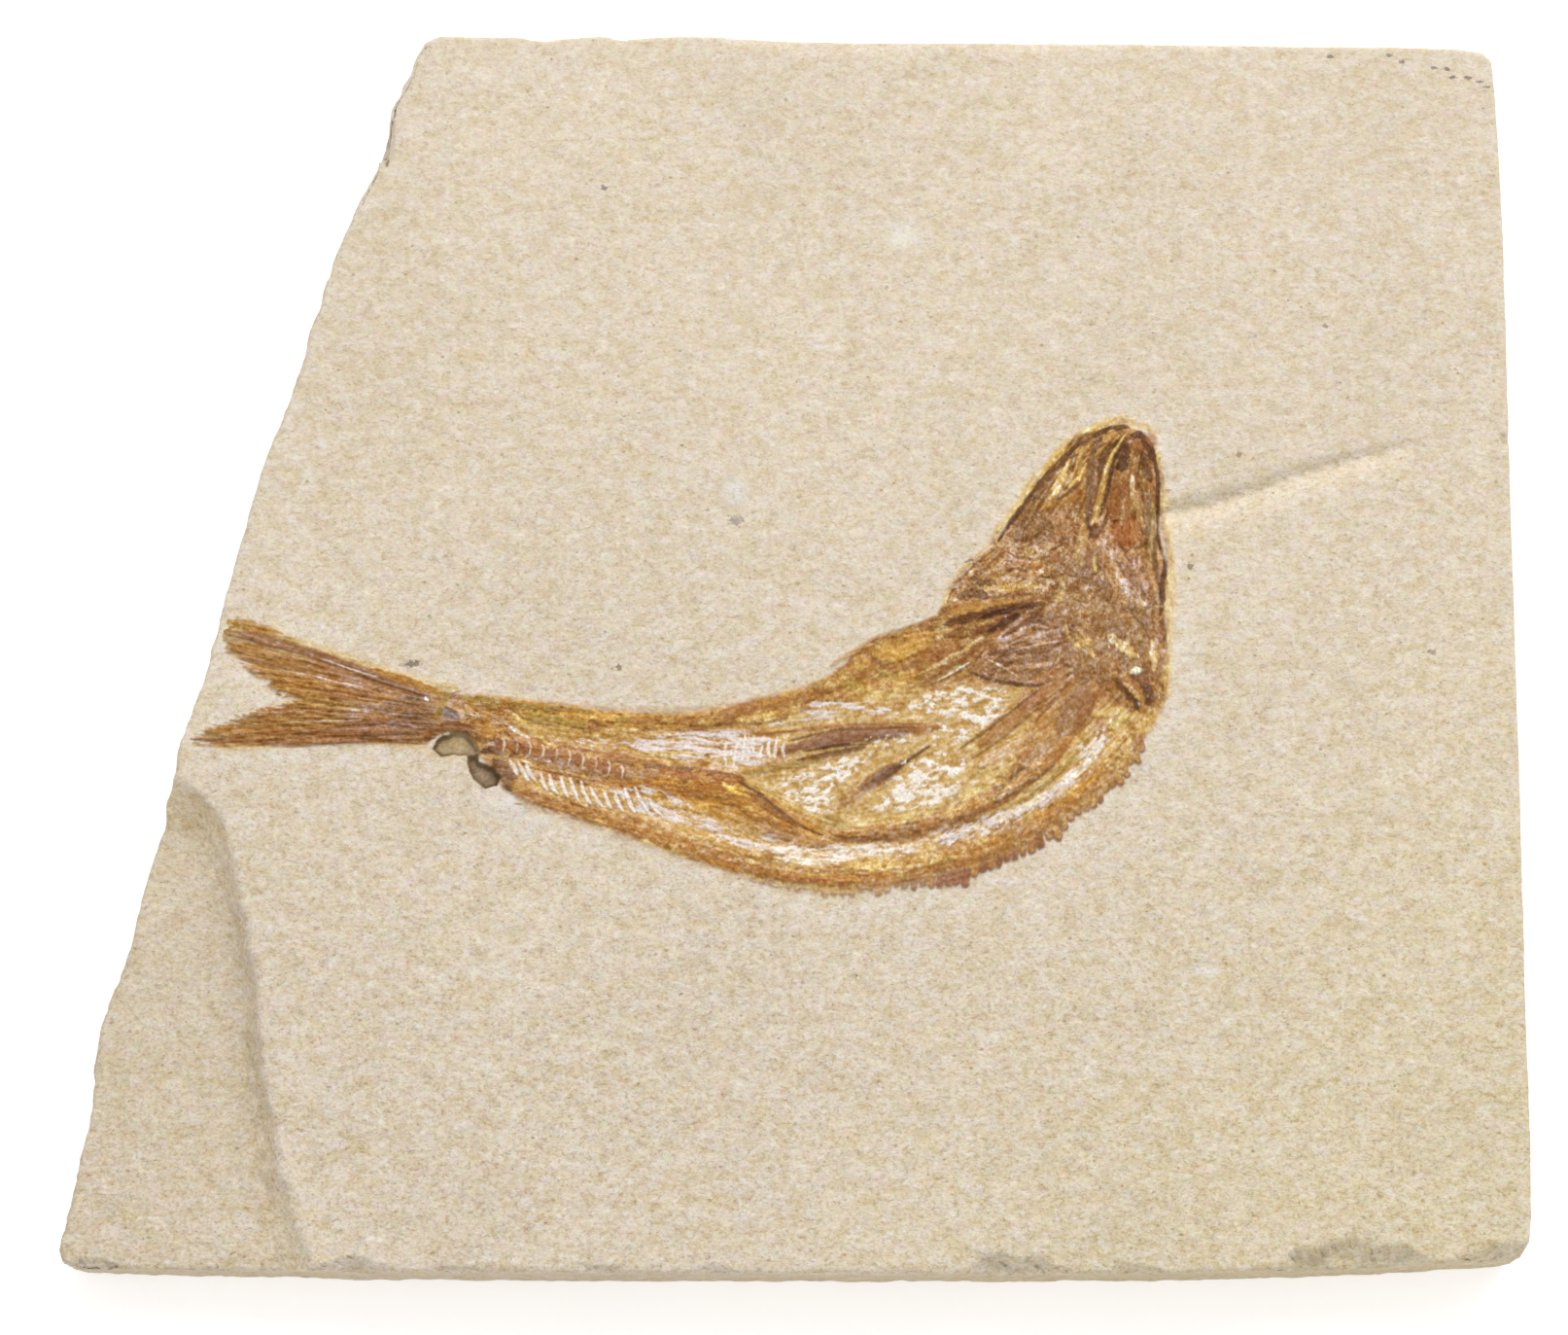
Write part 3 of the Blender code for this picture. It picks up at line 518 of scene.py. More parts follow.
def knobs(outline, count, largest, paintNames, seed):
    # small lumps with a dark foot
    pick = np.random.default_rng(seed)
    for x, y in scattered(outline, count, pick):
        radius = 0.08 + (largest - 0.08) * pick.random() ** 2
        angle = grainAt(x, y) + 0.5 * pick.normal()
        long = 1.0 + 0.9 * pick.random()
        place = window(((x, y),), radius * 2.2)
        gx, gy = gridX[place] - x, gridY[place] - y
        along = (gx * math.cos(angle) + gy * math.sin(angle)) / long
        d = np.hypot(along, gy * math.cos(angle) - gx * math.sin(angle))
        d = d / radius * (1 + 0.45 * noise(gx * 4.0 + x, gy * 4.0 + y, seed))
        lay(place, smooth(1.5, 1.0, d) * smooth(0.6, 1.0, d), "darkBrown", 0.3)
        lay(place, smooth(1.1, 0.7, d), anyOf(paintNames, pick), 0.2 + 0.35 * pick.random())
        foot = smooth(1.5, 1.1, d) * smooth(0.8, 1.1, d)
        art["lift"][place] += 0.05 * (smooth(1.2, 0.0, d) - 0.5 * foot)


def fibres(outline, paintNames, broken, count, longest, half, turn, jitter, seed):
    # many short strokes that follow the grain, crisper where the bone is broken
    pick = np.random.default_rng(seed)
    for x, y in scattered(outline, count, pick):
        angle = grainAt(x, y) + turn + jitter * pick.normal()
        reach = longest * (0.15 + 0.35 * pick.random())
        width = half * (0.4 + 0.8 * pick.random() ** 1.5)
        bow = 0.12 * reach * pick.normal()
        dx, dy = math.cos(angle) * reach, math.sin(angle) * reach
        line = np.array(((x - dx, y - dy), (x - dy * bow, y + dx * bow), (x + dx, y + dy)))
        place = window(line, width * 1.9)
        gx, gy = gridX[place], gridY[place]
        if gx.size == 0:
            continue
        d, _, where = nearestOn(gx, gy, line)
        ends = np.sqrt(np.clip(np.sin(np.pi * np.clip(where / (2 * reach), 0, 1)), 0, 1))
        d = d / (width * (0.2 + 0.8 * ends) + 1e-3)
        cover = 1 - smooth(0.2 + 0.5 * broken, 1.8 - 0.5 * broken, d)
        lay(place, cover, anyOf(paintNames, pick), (0.2 + 0.4 * broken) * (0.7 + 0.7 * pick.random()),
            0.02 * (pick.random() - 0.4))


def blotches(place, inside, paintNames, seed):
    # paints that run into each other like washes of water colour
    x, y = gridX[place], gridY[place]
    for k, paint in enumerate(paintNames):
        field = noise(x * 0.9 + 3.0 * k, y * 1.5, seed + k, 4, 0.62) + 0.10 * longFibre[place]
        lay(place, smooth(0.10, 0.30, field) * inside, paint, 0.6)


def region(ground, opacity, fibreRow, lumpRow, broken, punch, tone, paintNames, *numbers):
    # fibreRow: count, longest, half width, turn from the grain, jitter; lumpRow: count, largest;
    # punch: how much stronger its contrast gets; tone: what its red, green and blue are multiplied by
    return {"ground": (ground, opacity), "fibres": fibreRow, "lumps": lumpRow, "broken": broken,
            "punch": punch, "tone": tone, "paints": paintNames.split(), "outline": pairs(*numbers)}


# parts of the body
regions = {
    "snout": region("brown", 0.75, (300, 1.6, 0.1, 0, 0.12), (0, 0), 0.7, 0.1,
        (1.254, 1.35, 1.179), "darkBrown brown mauve tan amber umber", 23, 15.9, 19.4, 14.9, 15.6, 9.8,
        14, 7.2, 17.4, 7.6, 20.4, 8.6, 21.2, 12),
    "jaw": region("rose", 0.9, (260, 1.2, 0.1, 0, 0.14), (0, 0), 0.7, 0.3,
        (1.101, 1.178, 0.85), "darkBrown redBrown mauve rose rust umber", 22.4, 15.2, 24.9, 14.6, 25.7,
        6, 24, 5, 21.8, 8.6, 21, 9.6),
    "jawRoot": region("paleRose", 0.55, (140, 1, 0.09, 0, 0.3), (60, 0.2), 0.7, 0.12,
        (1.024, 0.979, 0.829), "rose paleRose mauve grey brown", 20.6, 8.4, 24, 6.4, 25.2, 2.4, 22.8,
        3.2, 20.6, 5.4),
    "cheek": region("rose", 0.9, (150, 1, 0.1, 0.5, 0.3), (60, 0.2), 0.9, 0.45,
        (1.03, 1.074, 0.984), "rose mauve redBrown grey paleRose brown", 19.4, 9.6, 15.2, 8.8, 13.4, 7,
        15, 6.4, 19.6, 7.2),
    "mosaic": region("tan", 0.9, (200, 0.9, 0.13, 0.2, 0.5), (110, 0.34), 1, 0.45,
        (1.24, 1.4, 1.473), "rose brown mauve honey redBrown paleRose", 14.6, 7, 19.6, 7.2, 19.2, 3.2,
        11, 3.2, 10.7, 4.4, 12.8, 6.2),
    "skull": region("mauve", 0.95, (300, 0.5, 0.13, 0, 1.6), (170, 0.32), 1, 0.25,
        (1.422, 1.653, 1.72), "grey rose darkMauve brown mauve", 18, 5.6, 21, 5.6, 25.4, 3, 25.6, -2,
        22.5, -2.9, 18.6, -2.8, 17, 2.4),
    "shoulder": region("chestnut", 0.9, (300, 1.4, 0.1, 0, 0.16), (60, 0.2), 0.7, 0.9,
        (1.017, 1.116, 1.197), "chestnut brown amber honey redBrown olive", 9.8, 2.8, 17, 3.2, 15, 0.6,
        12, -2.4, 8, -2.8, 2.4, -1.8, 5.4, 0.6),
    "gillCover": region("mauve", 0.8, (220, 0.9, 0.09, 0, 0.3), (60, 0.2), 0.8, 0.2,
        (1.047, 1.008, 0.875), "mauve paleRose darkMauve rose grey", 12, -2, 14.6, 0.4, 16.4, 2.6, 18.8,
        1, 19, -2.8, 16, -3),
    "throat": region("brown", 0.8, (90, 1, 0.1, 0.9, 0.4), (20, 0.2), 0.8, 0.08,
        (0.96, 0.951, 0.948), "darkBrown amber brown honey", 21, -1.8, 24.8, -2, 25.6, -3.6, 24.2, -5,
        21.4, -3.6),
    "fan": region("tan", 0.9, (520, 1.9, 0.08, 0, 0.1), (0, 0), 0.5, 0,
        (1.077, 1.093, 1.021), "tan brown rose chestnut sand amber", 16.6, -2.6, 21.4, -2.8, 20.8, -6,
        16.4, -9.6, 9.8, -11.6, 9.8, -9.4, 11.2, -7.2, 14.4, -4.8),
    "back": region("chestnut", 0.9, (260, 1.2, 0.12, 0, 0.3), (120, 0.32), 0.4, 0.5,
        (1.287, 1.525, 1.605), "chestnut amber olive honey redBrown brown", 8.8, 0.6, 8.6, -2.8, 5,
        -3.8, 0, -4.8, -5, -6, -12, -6.2, -18, -5.8, -22.6, -5.2, -22.6, -3.2, -14, -4, -6, -4.2, 0,
        -2.9, 3, -1.2),
    "belly": region("ochre", 1, (420, 1.8, 0.12, 0, 0.14), (0, 0), 0.25, 0.1,
        (0.979, 0.986, 1.142), "ochre straw honey straw ochre", 15.4, -3, 8, -3, -1, -4.9, -5, -8.8, -2,
        -10.8, 1.4, -12.6, 6, -12.9, 11, -11.8, 14.4, -8.8, 16.2, -5.2, 17, -3),
    "innerBand": region("tan", 0.8, (260, 0.9, 0.1, 0, 0.45), (200, 0.3), 0.7, 0.2,
        (1.8, 2.397, 2.929), "brown chestnut tan mauve amber rose", 18.8, -6, 16, -10.2, 11, -12.8, 4,
        -13.8, 2, -13, 9, -12, 13.6, -9.8),
    # pale bone along the belly, lightened further by a painted sheen of the varnish
    "paleSheenBand": region("sand", 0.9, (520, 1.6, 0.09, 0, 0.12), (0, 0), 0.5, -0.12,
        (1.065, 1.063, 0.948), "sand honey tan paleRose straw", 21.8, -5.8, 20, -6, 16, -10.2, 9, -13,
        1, -13.3, -3.6, -11.9, -9, -10.6, -20.2, -8.2, -17, -10.8, -11, -12.4, -5, -14.4, 1, -15.5, 8,
        -14.7, 14, -13, 18.4, -10.4),
    "keel": region("honey", 0.85, (420, 0.7, 0.13, 0.35, 0.5), (420, 0.4), 0.6, 0.1,
        (1.444, 1.796, 2.071), "chestnut rose honey brown tan redBrown", 24.6, -4.4, 23.4, -7.6, 20.4,
        -10.8, 15.6, -13.9, 9, -16.2, 2, -17.4, -5, -16.4, -11, -14.2, -19.6, -11, -19.4, -9.9, -11,
        -12.1, -5, -14.2, 2, -15.4, 9, -14.4, 15, -12.2, 19.6, -8.6, 21, -5.4),
    "rearBack": region("sand", 0.85, (240, 1.6, 0.1, 0, 0.1), (0, 0), 0.35, -0.12,
        (0.99, 0.96, 0.645), "sand honey paleRose chestnut", -1, -6, -8, -6.2, -17, -5.8, -19.6, -5.2,
        -15, -7.4, -8, -8.6, -3, -9, -0.6, -8),
    "backbone": region("tan", 0.9, (360, 1.2, 0.11, 0, 0.2), (120, 0.26), 0.6, 0.25,
        (1.523, 1.786, 2.059), "mauve tan chestnut redBrown rose honey", -21, -6.2, -15, -7.2, -8, -8.5,
        -4, -9, -8, -10.4, -14, -9.8, -20.4, -8.8),
    "lowerBand": region("chestnut", 0.8, (160, 1.4, 0.11, 0, 0.15), (30, 0.26), 0.5, -0.08,
        (1.46, 1.545, 0.969), "chestnut amber honey mauve", -13, -9.2, -4.2, -9.4, -1.4, -11, 1.6,
        -12.8, 1, -13.4, -3.6, -11.9, -8, -10.9, -13, -10.2),
    "tailRoot": region("rose", 0.85, (260, 1.8, 0.09, 0, 0.06), (0, 0), 0.5, 0.25,
        (1.058, 1.194, 1.533), "rose mauve grey tan", -22.4, -3.6, -26, -3, -31, -1.6, -32, -5.6, -26,
        -6.8, -25, -5.8, -22.4, -5.6),
    "peduncle": region("honey", 0.85, (60, 0.8, 0.11, 0.4, 0.5), (50, 0.26), 0.6, 0.45,
        (1.135, 1.17, 1.416), "honey amber sand chestnut olive", -22.8, -3.6, -20, -4, -19.4, -6.2,
        -21.6, -7, -23, -5.4),
}

# brush strokes in the order of painting: paint, opacity, half width, then points
strokes = {
    "patches": (
        ("paleRose", 0.55, 0.8, 19, 12.2, 17.7, 11.4, 16.4, 10.7),
        ("paleRose", 0.5, 0.9, 12.3, 5.9, 13.9, 6.9, 15.4, 7.4),
        ("paleRose", 0.55, 0.55, 21.2, 9, 22.4, 7, 24.2, 3.9),
        ("honey", 0.6, 0.6, 17.4, 5.1, 18.1, 4.8, 18.8, 4),
        ("blueGrey", 0.3, 1.1, 19.8, 6.4, 20.2, 4.9),
        ("darkMauve", 0.75, 0.38, 12.2, 4.8, 12.9, 4.7, 13.7, 4.4),
        ("paleRose", 0.45, 0.6, 13.9, -0.4, 15.4, 1.5, 16.9, 3),
        ("honey", 0.55, 0.3, 19.2, 1.4, 19.8, 0.4, 20.6, -0.1),
        ("lilac", 0.35, 0.22, 14.9, 0.2, 17.6, 0.9, 18.9, 1.4),
    ),
    "belly": (
        ("chestnut", 0.9, 0.42, 9.8, -5.7, 7, -6, 4.2, -6.4, 0.8, -7, -1.4, -7.5),
        ("darkBrown", 0.85, 0.14, 8.2, -5.7, 6, -5.8, 3.2, -5.9, 1, -6.3, -0.6, -6.7),
        ("mauve", 0.8, 0.4, 7.6, -6, 5.6, -6.3, 2.9, -6.5, 0.2, -7, -0.8, -7.2),
        ("umber", 0.8, 0.1, 5.4, -6.9, 3, -7, 0.6, -7.4),
        ("darkBrown", 0.85, 0.22, 4.7, -7.1, 3, -7.4, 1.2, -7.8, 0, -8),
        ("olive", 0.7, 0.22, 2, -7.9, 0, -8.3, -2.2, -8.7, -4, -9),
        ("rose", 0.6, 0.45, 4.8, -9.7, 3.8, -10.5, 2.9, -11.3),
        ("mauve", 0.85, 0.5, 7, -8.4, 5.8, -9.1, 4.4, -10),
        ("darkMauve", 0.8, 0.3, 7.6, -8.1, 6.2, -8.9, 5.2, -9.5),
        ("umber", 0.85, 0.12, 9.2, -7, 8, -7.8, 6.7, -8.7),
        ("olive", 0.7, 0.3, 1.4, -12.6, 2.4, -12.2, 3.4, -12.6),
        ("umber", 0.9, 0.14, -4.4, -9.3, -2.6, -10.4, -1.2, -11.6, 0.2, -12.6, 1.8, -13.3),
        ("darkBrown", 0.8, 0.24, -3.4, -10.2, -1.6, -11.6, 0, -12.7),
        ("straw", 0.7, 0.14, -3, -9.4, -1, -10.6, 0.8, -11.8, 2.4, -12.4),
        ("amber", 0.6, 0.12, 14.4, -3.6, 12.2, -5.4, 10.4, -6.9),
        ("amber", 0.5, 0.25, 7.8, -3.9, 6.6, -4.4, 5.2, -5.2),
        ("olive", 0.5, 0.3, 12.8, -8.8, 11.2, -9.8, 10.4, -11),
        ("straw", 0.7, 0.4, 12.8, -8.2, 11.4, -9.2, 10.6, -10.4),
    ),
    "fan": (
        ("rose", 0.7, 0.9, 18.4, -1.8, 17, -3, 15.6, -4.2),
        ("chestnut", 0.7, 0.45, 17.6, -2.8, 15.4, -4.8, 12.6, -7),
        ("darkBrown", 0.75, 0.12, 17, -2.9, 15.2, -4.3, 13, -6, 11, -7.4),
        ("amber", 0.8, 0.1, 16.4, -3, 14.4, -4.6, 12.4, -6.3),
        ("brown", 0.7, 0.1, 18.2, -3, 16.4, -4.6, 14, -6.6, 12, -8),
        ("darkBrown", 0.6, 0.12, 19, -2.4, 17.6, -4, 16.4, -5.4),
        ("mauve", 0.75, 0.8, 20, -2.6, 19, -4.6, 18.2, -6.2),
        ("mauve", 0.7, 0.6, 18.4, -6, 17, -7.6, 15, -9),
        ("brown", 0.7, 0.4, 20.6, -3.4, 19.8, -4.8, 19.2, -6),
        ("sand", 0.7, 0.5, 15.6, -6.6, 14.2, -7.6, 12.6, -8.4),
        ("straw", 0.6, 0.5, 15, -8, 13, -9.4, 11.2, -10.2),
        ("darkBrown", 0.65, 0.14, 16.8, -7.6, 15.6, -8.6, 14.2, -9.6),
        ("darkBrown", 0.7, 0.26, 17.6, -8.2, 16, -9.4, 14.6, -10.4),
    ),
    "innerBand": (
        ("chestnut", 0.85, 0.55, 18.8, -6.6, 16.6, -8.8, 14, -10.8, 11, -12.1, 8, -12.9, 5, -13.3, 2.4,
         -13.4),
        ("mauve", 0.5, 0.4, 16.6, -8.6, 14.4, -10.4, 11, -12),
        ("darkBrown", 0.75, 0.24, 17.8, -8.4, 15.4, -10, 13, -11.4, 10.4, -12.4, 7.4, -13.1, 4.6, -13.5,
         2.6, -13.3),
        ("umber", 0.7, 0.16, 15.6, -8.4, 14.6, -9.5, 13.6, -10.3),
        ("olive", 0.85, 0.2, 20.6, -6, 18.4, -8.6, 16, -10.6, 13, -12, 10.6, -12.7),
        ("straw", 0.7, 0.14, 20.2, -5.6, 19, -7.2, 17.6, -8.8, 16, -10),
        ("rose", 0.8, 0.3, 2.6, -13.9, 0.6, -13.6, -1.6, -13, -3.4, -12.4),
        ("mauve", 0.7, 0.26, -0.4, -13.5, -2.2, -12.9, -4.4, -12),
        ("redBrown", 0.6, 0.14, 3.4, -14, 1.4, -14.1, -0.6, -13.9),
        ("brown", 0.7, 0.3, -3.6, -11.6, -1.8, -12.4, 0.2, -13.2),
    ),
    "keel": (
        ("amber", 0.9, 0.24, 22.4, -6.4, 20.8, -8.8, 18.4, -11, 15.4, -13, 12, -14.3),
        ("chestnut", 0.85, 0.5, 20.8, -9.4, 18.4, -11.4, 15.4, -13.1, 12.4, -14.5, 9, -15.4, 5, -16.2,
         1, -16.3),
        ("honey", 0.7, 0.4, 11, -14.8, 8, -15.2, 4.8, -15.4, 2.4, -15.2),
        ("chestnut", 0.9, 0.5, 4, -16.4, 0, -16.2, -4, -15.4, -8, -14, -12, -12.6, -16, -11.4, -18.8,
         -10.6),
        ("redBrown", 0.7, 0.26, 2, -16.4, -1, -16.2, -3.4, -15.6),
        ("tan", 0.8, 0.5, 23, -5.2, 22.2, -6.4, 21.2, -7.8),
        ("straw", 0.8, 0.3, 23.6, -4.8, 22.4, -5.2, 21.6, -5.8),
        ("honey", 0.7, 0.3, -9, -12.2, -6, -13.6, -3, -14.6, 0, -15.3),
    ),
    "rearBack": (
        ("amber", 0.85, 0.42, -22.8, -3.9, -19, -4.2, -15.4, -4.7, -12, -5.2, -8.6, -5.4, -5, -5.2),
        ("darkOlive", 0.75, 0.2, -22.6, -3.8, -20.4, -4, -18.6, -4.3, -16, -4.5, -14, -4.7),
        ("brown", 0.75, 0.34, -12.4, -5.2, -9.4, -5.3, -6, -5.2, -3, -4.6, 0, -3.9, 3, -2.8),
        ("olive", 0.7, 0.45, -19, -4.8, -16.6, -5.4, -14.4, -5.6),
        ("honey", 0.8, 0.26, -20.2, -5, -17.6, -6, -14.6, -6.2, -11, -5.9),
        ("tan", 0.7, 0.3, -13.8, -5.9, -11, -6.3, -8.4, -6.2),
        ("straw", 0.6, 0.24, -3.6, -5.3, -1, -5.2, 1.6, -4.6),
        ("honey", 0.8, 0.34, -4.2, -5.2, -2, -4.9, 1, -4.2),
        ("chestnut", 0.85, 0.14, 9, -5.5, 6, -5.5, 3, -5.6, -0.4, -6, -3, -6.2),
        ("redBrown", 0.7, 0.14, -15.6, -7.2, -12.4, -7.7, -9, -8.4),
        ("pearl", 0.8, 0.26, -10.4, -7.5, -8.6, -7.6, -6.4, -7.6),
    ),
    "backbone": (
        ("mauve", 0.85, 0.6, -19.8, -7, -17.4, -7.8, -15, -8.4, -12.6, -8.9, -9.6, -9),
        ("darkMauve", 0.85, 0.22, -13.4, -8, -10.4, -8.4, -8, -8.7, -5.6, -8.9, -3.8, -9.2),
        ("redBrown", 0.8, 0.36, -9.4, -8.8, -7, -9.1, -4.8, -9.3, -3.6, -9.4),
        ("brown", 0.75, 0.42, -12, -9.7, -8.8, -10, -6, -10.2, -3.8, -10.6, -2.4, -11.4),
        ("darkBrown", 0.6, 0.2, -8, -10.2, -5.4, -10.8, -3.2, -11.6),
        ("straw", 0.75, 0.12, -5.2, -9.6, -4.4, -10.2, -3.2, -10.6),
        ("honey", 0.7, 0.3, -9, -11, -6.6, -11.5, -4.4, -12.2, -2.2, -13),
        ("brown", 0.8, 0.11, -18.2, -8.6, -16.2, -9, -14.4, -9.4, -11.8, -10),
        ("umber", 0.9, 0.28, -21.8, -7.4, -21, -7.3, -20, -7.3, -19.3, -7.6),
        ("darkBrown", 0.8, 0.2, -20.2, -5.9, -19.4, -6.6, -18.8, -7.2),
        ("rose", 0.85, 0.3, -20.2, -5.8, -19, -6.6, -17.6, -7.2),
        ("pearl", 0.8, 0.12, -20.1, -5.5, -19.4, -6, -18.4, -6.5),
        ("straw", 0.85, 0.16, -19.7, -4.7, -18.9, -5.4, -17.8, -6.4, -17, -7),
        ("mauve", 0.85, 0.4, -20.8, -8.4, -20.2, -8.9, -19.8, -9.8),
        ("darkMauve", 0.9, 0.24, -20.4, -9.8, -19.8, -10.2, -20.4, -10.2),
        ("redBrown", 0.8, 0.3, -19.6, -10.3, -18.4, -10.5, -17, -10.9),
    ),
    # pearl strokes: a painted sheen along the pale band of the belly
    "paleSheenBand": (
        ("pearl", 0.9, 0.34, 21.2, -6.4, 20.4, -7.6, 19.2, -8.9, 17.8, -10, 16, -11.2, 13.6, -12.2,
         11.6, -12.9, 9.4, -13.7),
        ("pearl", 0.85, 0.24, 9, -13.6, 6.4, -14.3, 3.6, -14.8, 0.6, -15.1, -1.6, -14.8),
        ("pearl", 0.8, 0.18, 5.8, -13.8, 3.4, -14.3, 0.6, -14.6, -2, -14.2, -4, -13.6),
        ("pearl", 0.85, 0.26, -9.4, -11.8, -7.4, -12.3, -5.6, -12.9),
        ("pearl", 0.8, 0.2, -5.4, -13.3, -3.4, -13.8, -1, -14.3, 1.4, -14.5),
    ),
    "peduncle": (
        ("darkMauve", 0.8, 0.4, -20.9, -8, -20.2, -8.5, -19.4, -9.2),
        ("mauve", 0.7, 0.3, -21.2, -7.1, -20.4, -7.4, -19.6, -7.9),
        ("honey", 0.85, 0.7, -22.8, -4.4, -21.6, -4.8, -20.8, -5.6),
        ("amber", 0.8, 0.4, -21.4, -5.2, -21.4, -6, -20.6, -6.4),
        ("sand", 0.8, 0.13, -20, -4.7, -20.4, -5.3, -21.2, -5.5),
        ("pearl", 0.7, 0.12, -20.6, -6.2, -20.8, -6.8, -21.4, -6.9),
        ("olive", 0.9, 0.28, -23, -3.7, -22, -3.7, -20.4, -4),
        ("blueGrey", 0.9, 0.34, -24.5, -4.5, -23.9, -4.8, -23.4, -5.1),
        ("darkMauve", 0.8, 0.14, -24.3, -4.3, -23.6, -4.7, -23.3, -5.1),
        ("darkBrown", 0.85, 0.2, -25.2, -3.9, -24.6, -3.6, -24, -3.5, -23.6, -3.3),
        ("sand", 0.85, 0.1, -24.9, -5.8, -23.8, -5.7, -22.8, -5.9, -22.2, -6.5),
        ("darkOlive", 0.8, 0.1, -25.3, -6.3, -24.6, -5.9, -23.6, -5.9),
    ),
    "skull": (
        ("sand", 0.7, 0.3, 18.2, 4.6, 18.4, 3.8, 18, 3),
        ("darkMauve", 0.5, 0.5, 20.8, 4.6, 21.6, 4, 22, 3),
        ("darkMauve", 0.5, 0.6, 20.6, 1.6, 21.8, 1.2, 22.6, 0.4),
        ("darkMauve", 0.5, 0.4, 23, 2.8, 23.8, 2.2, 24.2, 1.2),
        ("paleRose", 0.8, 0.25, 21.9, 4.9, 22.6, 4.1, 23.4, 3.4, 24.2, 2.8),
        ("straw", 0.8, 0.14, 18.6, 1.6, 18.7, 0.8, 19.2, 0.2, 19.8, -0.4),
        ("honey", 0.7, 0.2, 19, 0.8, 19.9, 0.1, 20.6, -0.9),
        ("umber", 0.7, 0.12, 18.9, 2.2, 19.2, 1.2, 19.8, 0.4),
        ("darkBrown", 0.7, 0.2, 25.3, 2, 25.4, 1, 25.4, -0.2),
        ("sand", 0.8, 0.3, 24.6, 0.4, 24.6, -0.8, 24.7, -1.8),
        ("white", 0.95, 0.3, 23.4, -1.55, 23.5, -2),
        ("sand", 0.7, 0.4, 21.6, 0.6, 22.6, -0.2, 23.6, -0.8),
    ),
    "cheek": (
        ("darkBrown", 0.9, 0.26, 20.9, 8.6, 20.6, 8.1, 20.5, 7.6),
        ("umber", 0.9, 0.13, 20.2, 9.4, 20.2, 8.6, 20.4, 8, 20.2, 7.4),
        ("honey", 0.85, 0.14, 19.9, 8.6, 19.7, 7.7, 19.6, 6.9, 19.3, 6.2),
        ("darkBrown", 0.7, 0.1, 19.4, 8.2, 19.2, 7.2, 19, 6.3),
        ("brown", 0.8, 0.22, 20.2, 7.2, 20.2, 6.2, 20.3, 5.4),
        ("straw", 0.7, 0.14, 20.8, 6.6, 20.6, 5.9, 20.7, 5.2),
        ("rose", 0.85, 0.85, 18.2, 9.2, 18.5, 8.3, 18.2, 7.7),
        ("mauve", 0.8, 0.4, 15.2, 7.5, 16.2, 7.9, 17, 8.5, 17.2, 9.4),
        ("redBrown", 0.6, 0.12, 15, 7.3, 16.2, 7.6, 17.4, 7.4, 18.6, 7.2),
        ("straw", 0.8, 0.12, 16.9, 10.6, 16.4, 9.6, 16.1, 8.8),
        ("umber", 0.75, 0.1, 17.3, 6.6, 18, 6.9, 18.6, 7.2, 19, 7),
        ("honey", 0.8, 0.28, 15.8, 6.6, 16.6, 6.7, 17.6, 7),
        ("darkBrown", 0.75, 0.12, 14.6, 6.6, 15.4, 6.2, 16.6, 6.1, 17.6, 6.3),
        ("chestnut", 0.8, 0.24, 15.2, 5.9, 16.4, 5.6, 17.6, 5.9, 18.8, 5.7),
        ("darkBrown", 0.8, 0.13, 14, 5.2, 15.2, 5.4, 16, 5.2),
        ("umber", 0.85, 0.12, 16.8, 4.9, 17.6, 4.8, 18.4, 5, 18.9, 5.1),
        ("straw", 0.85, 0.14, 17.1, 5.6, 17.6, 5.6, 18.3, 5.6),
        ("tan", 0.85, 0.4, 14.2, 6.9, 13, 5.9, 12, 5),
        ("rose", 0.8, 0.5, 14.6, 5.4, 13.4, 5.2, 12.6, 4.8),
        ("redBrown", 0.7, 0.1, 14.4, 6.6, 13.2, 5.6, 12.4, 4.6),
        ("darkBrown", 0.8, 0.1, 14, 7, 13, 6.2, 12, 5.4, 11.3, 4.7, 10.7, 3.8, 10.4, 3),
        ("honey", 0.8, 0.3, 12.9, 4, 14.4, 4, 15.8, 4.3, 17, 4.1),
        ("brown", 0.7, 0.14, 13, 3.4, 14.6, 3.5, 16.4, 3.6),
        ("darkMauve", 0.9, 0.34, 11.2, 3.4, 11.8, 3.7, 12.6, 3.7, 13.2, 3.4),
    ),
    "gillCover": (
        ("darkMauve", 0.6, 0.4, 17, 2.6, 16.4, 1.8, 17.4, 1.2),
        ("paleRose", 0.7, 0.12, 15, 0.8, 16.2, 1.4, 17.4, 1.2),
        ("pearl", 0.7, 0.09, 14.6, -0.5, 16.4, 0, 18.2, 0.3),
        ("darkMauve", 0.75, 0.22, 13.2, -0.6, 14.8, -0.4, 16.8, -0.4, 18, 0),
        ("darkMauve", 0.6, 0.2, 14, -1.2, 15.8, -1, 17.4, -0.8),
        ("pearl", 0.7, 0.08, 13.2, -1, 14.2, -1.5, 15, -2),
        ("paleRose", 0.8, 0.18, 14.4, -1.7, 16, -1.5, 17.6, -1.3),
        ("umber", 0.85, 0.14, 12, -1.9, 13.4, -2.4, 15, -2.7, 16.6, -2.8, 17.6, -2.5),
    ),
    "shoulder": (
        ("amber", 0.8, 0.35, 10.6, 2.3, 12.6, 2.6, 15.2, 3),
        ("darkBrown", 0.85, 0.3, 10.2, 1.5, 12, 2, 14, 2.5, 16.4, 2.9),
        ("umber", 0.8, 0.22, 12.6, 1.9, 14.2, 2.3, 15.8, 2.6, 17, 3),
        ("brown", 0.85, 0.34, 10.2, 0.7, 12.2, 0.9, 14.2, 1.6, 15.8, 2.4),
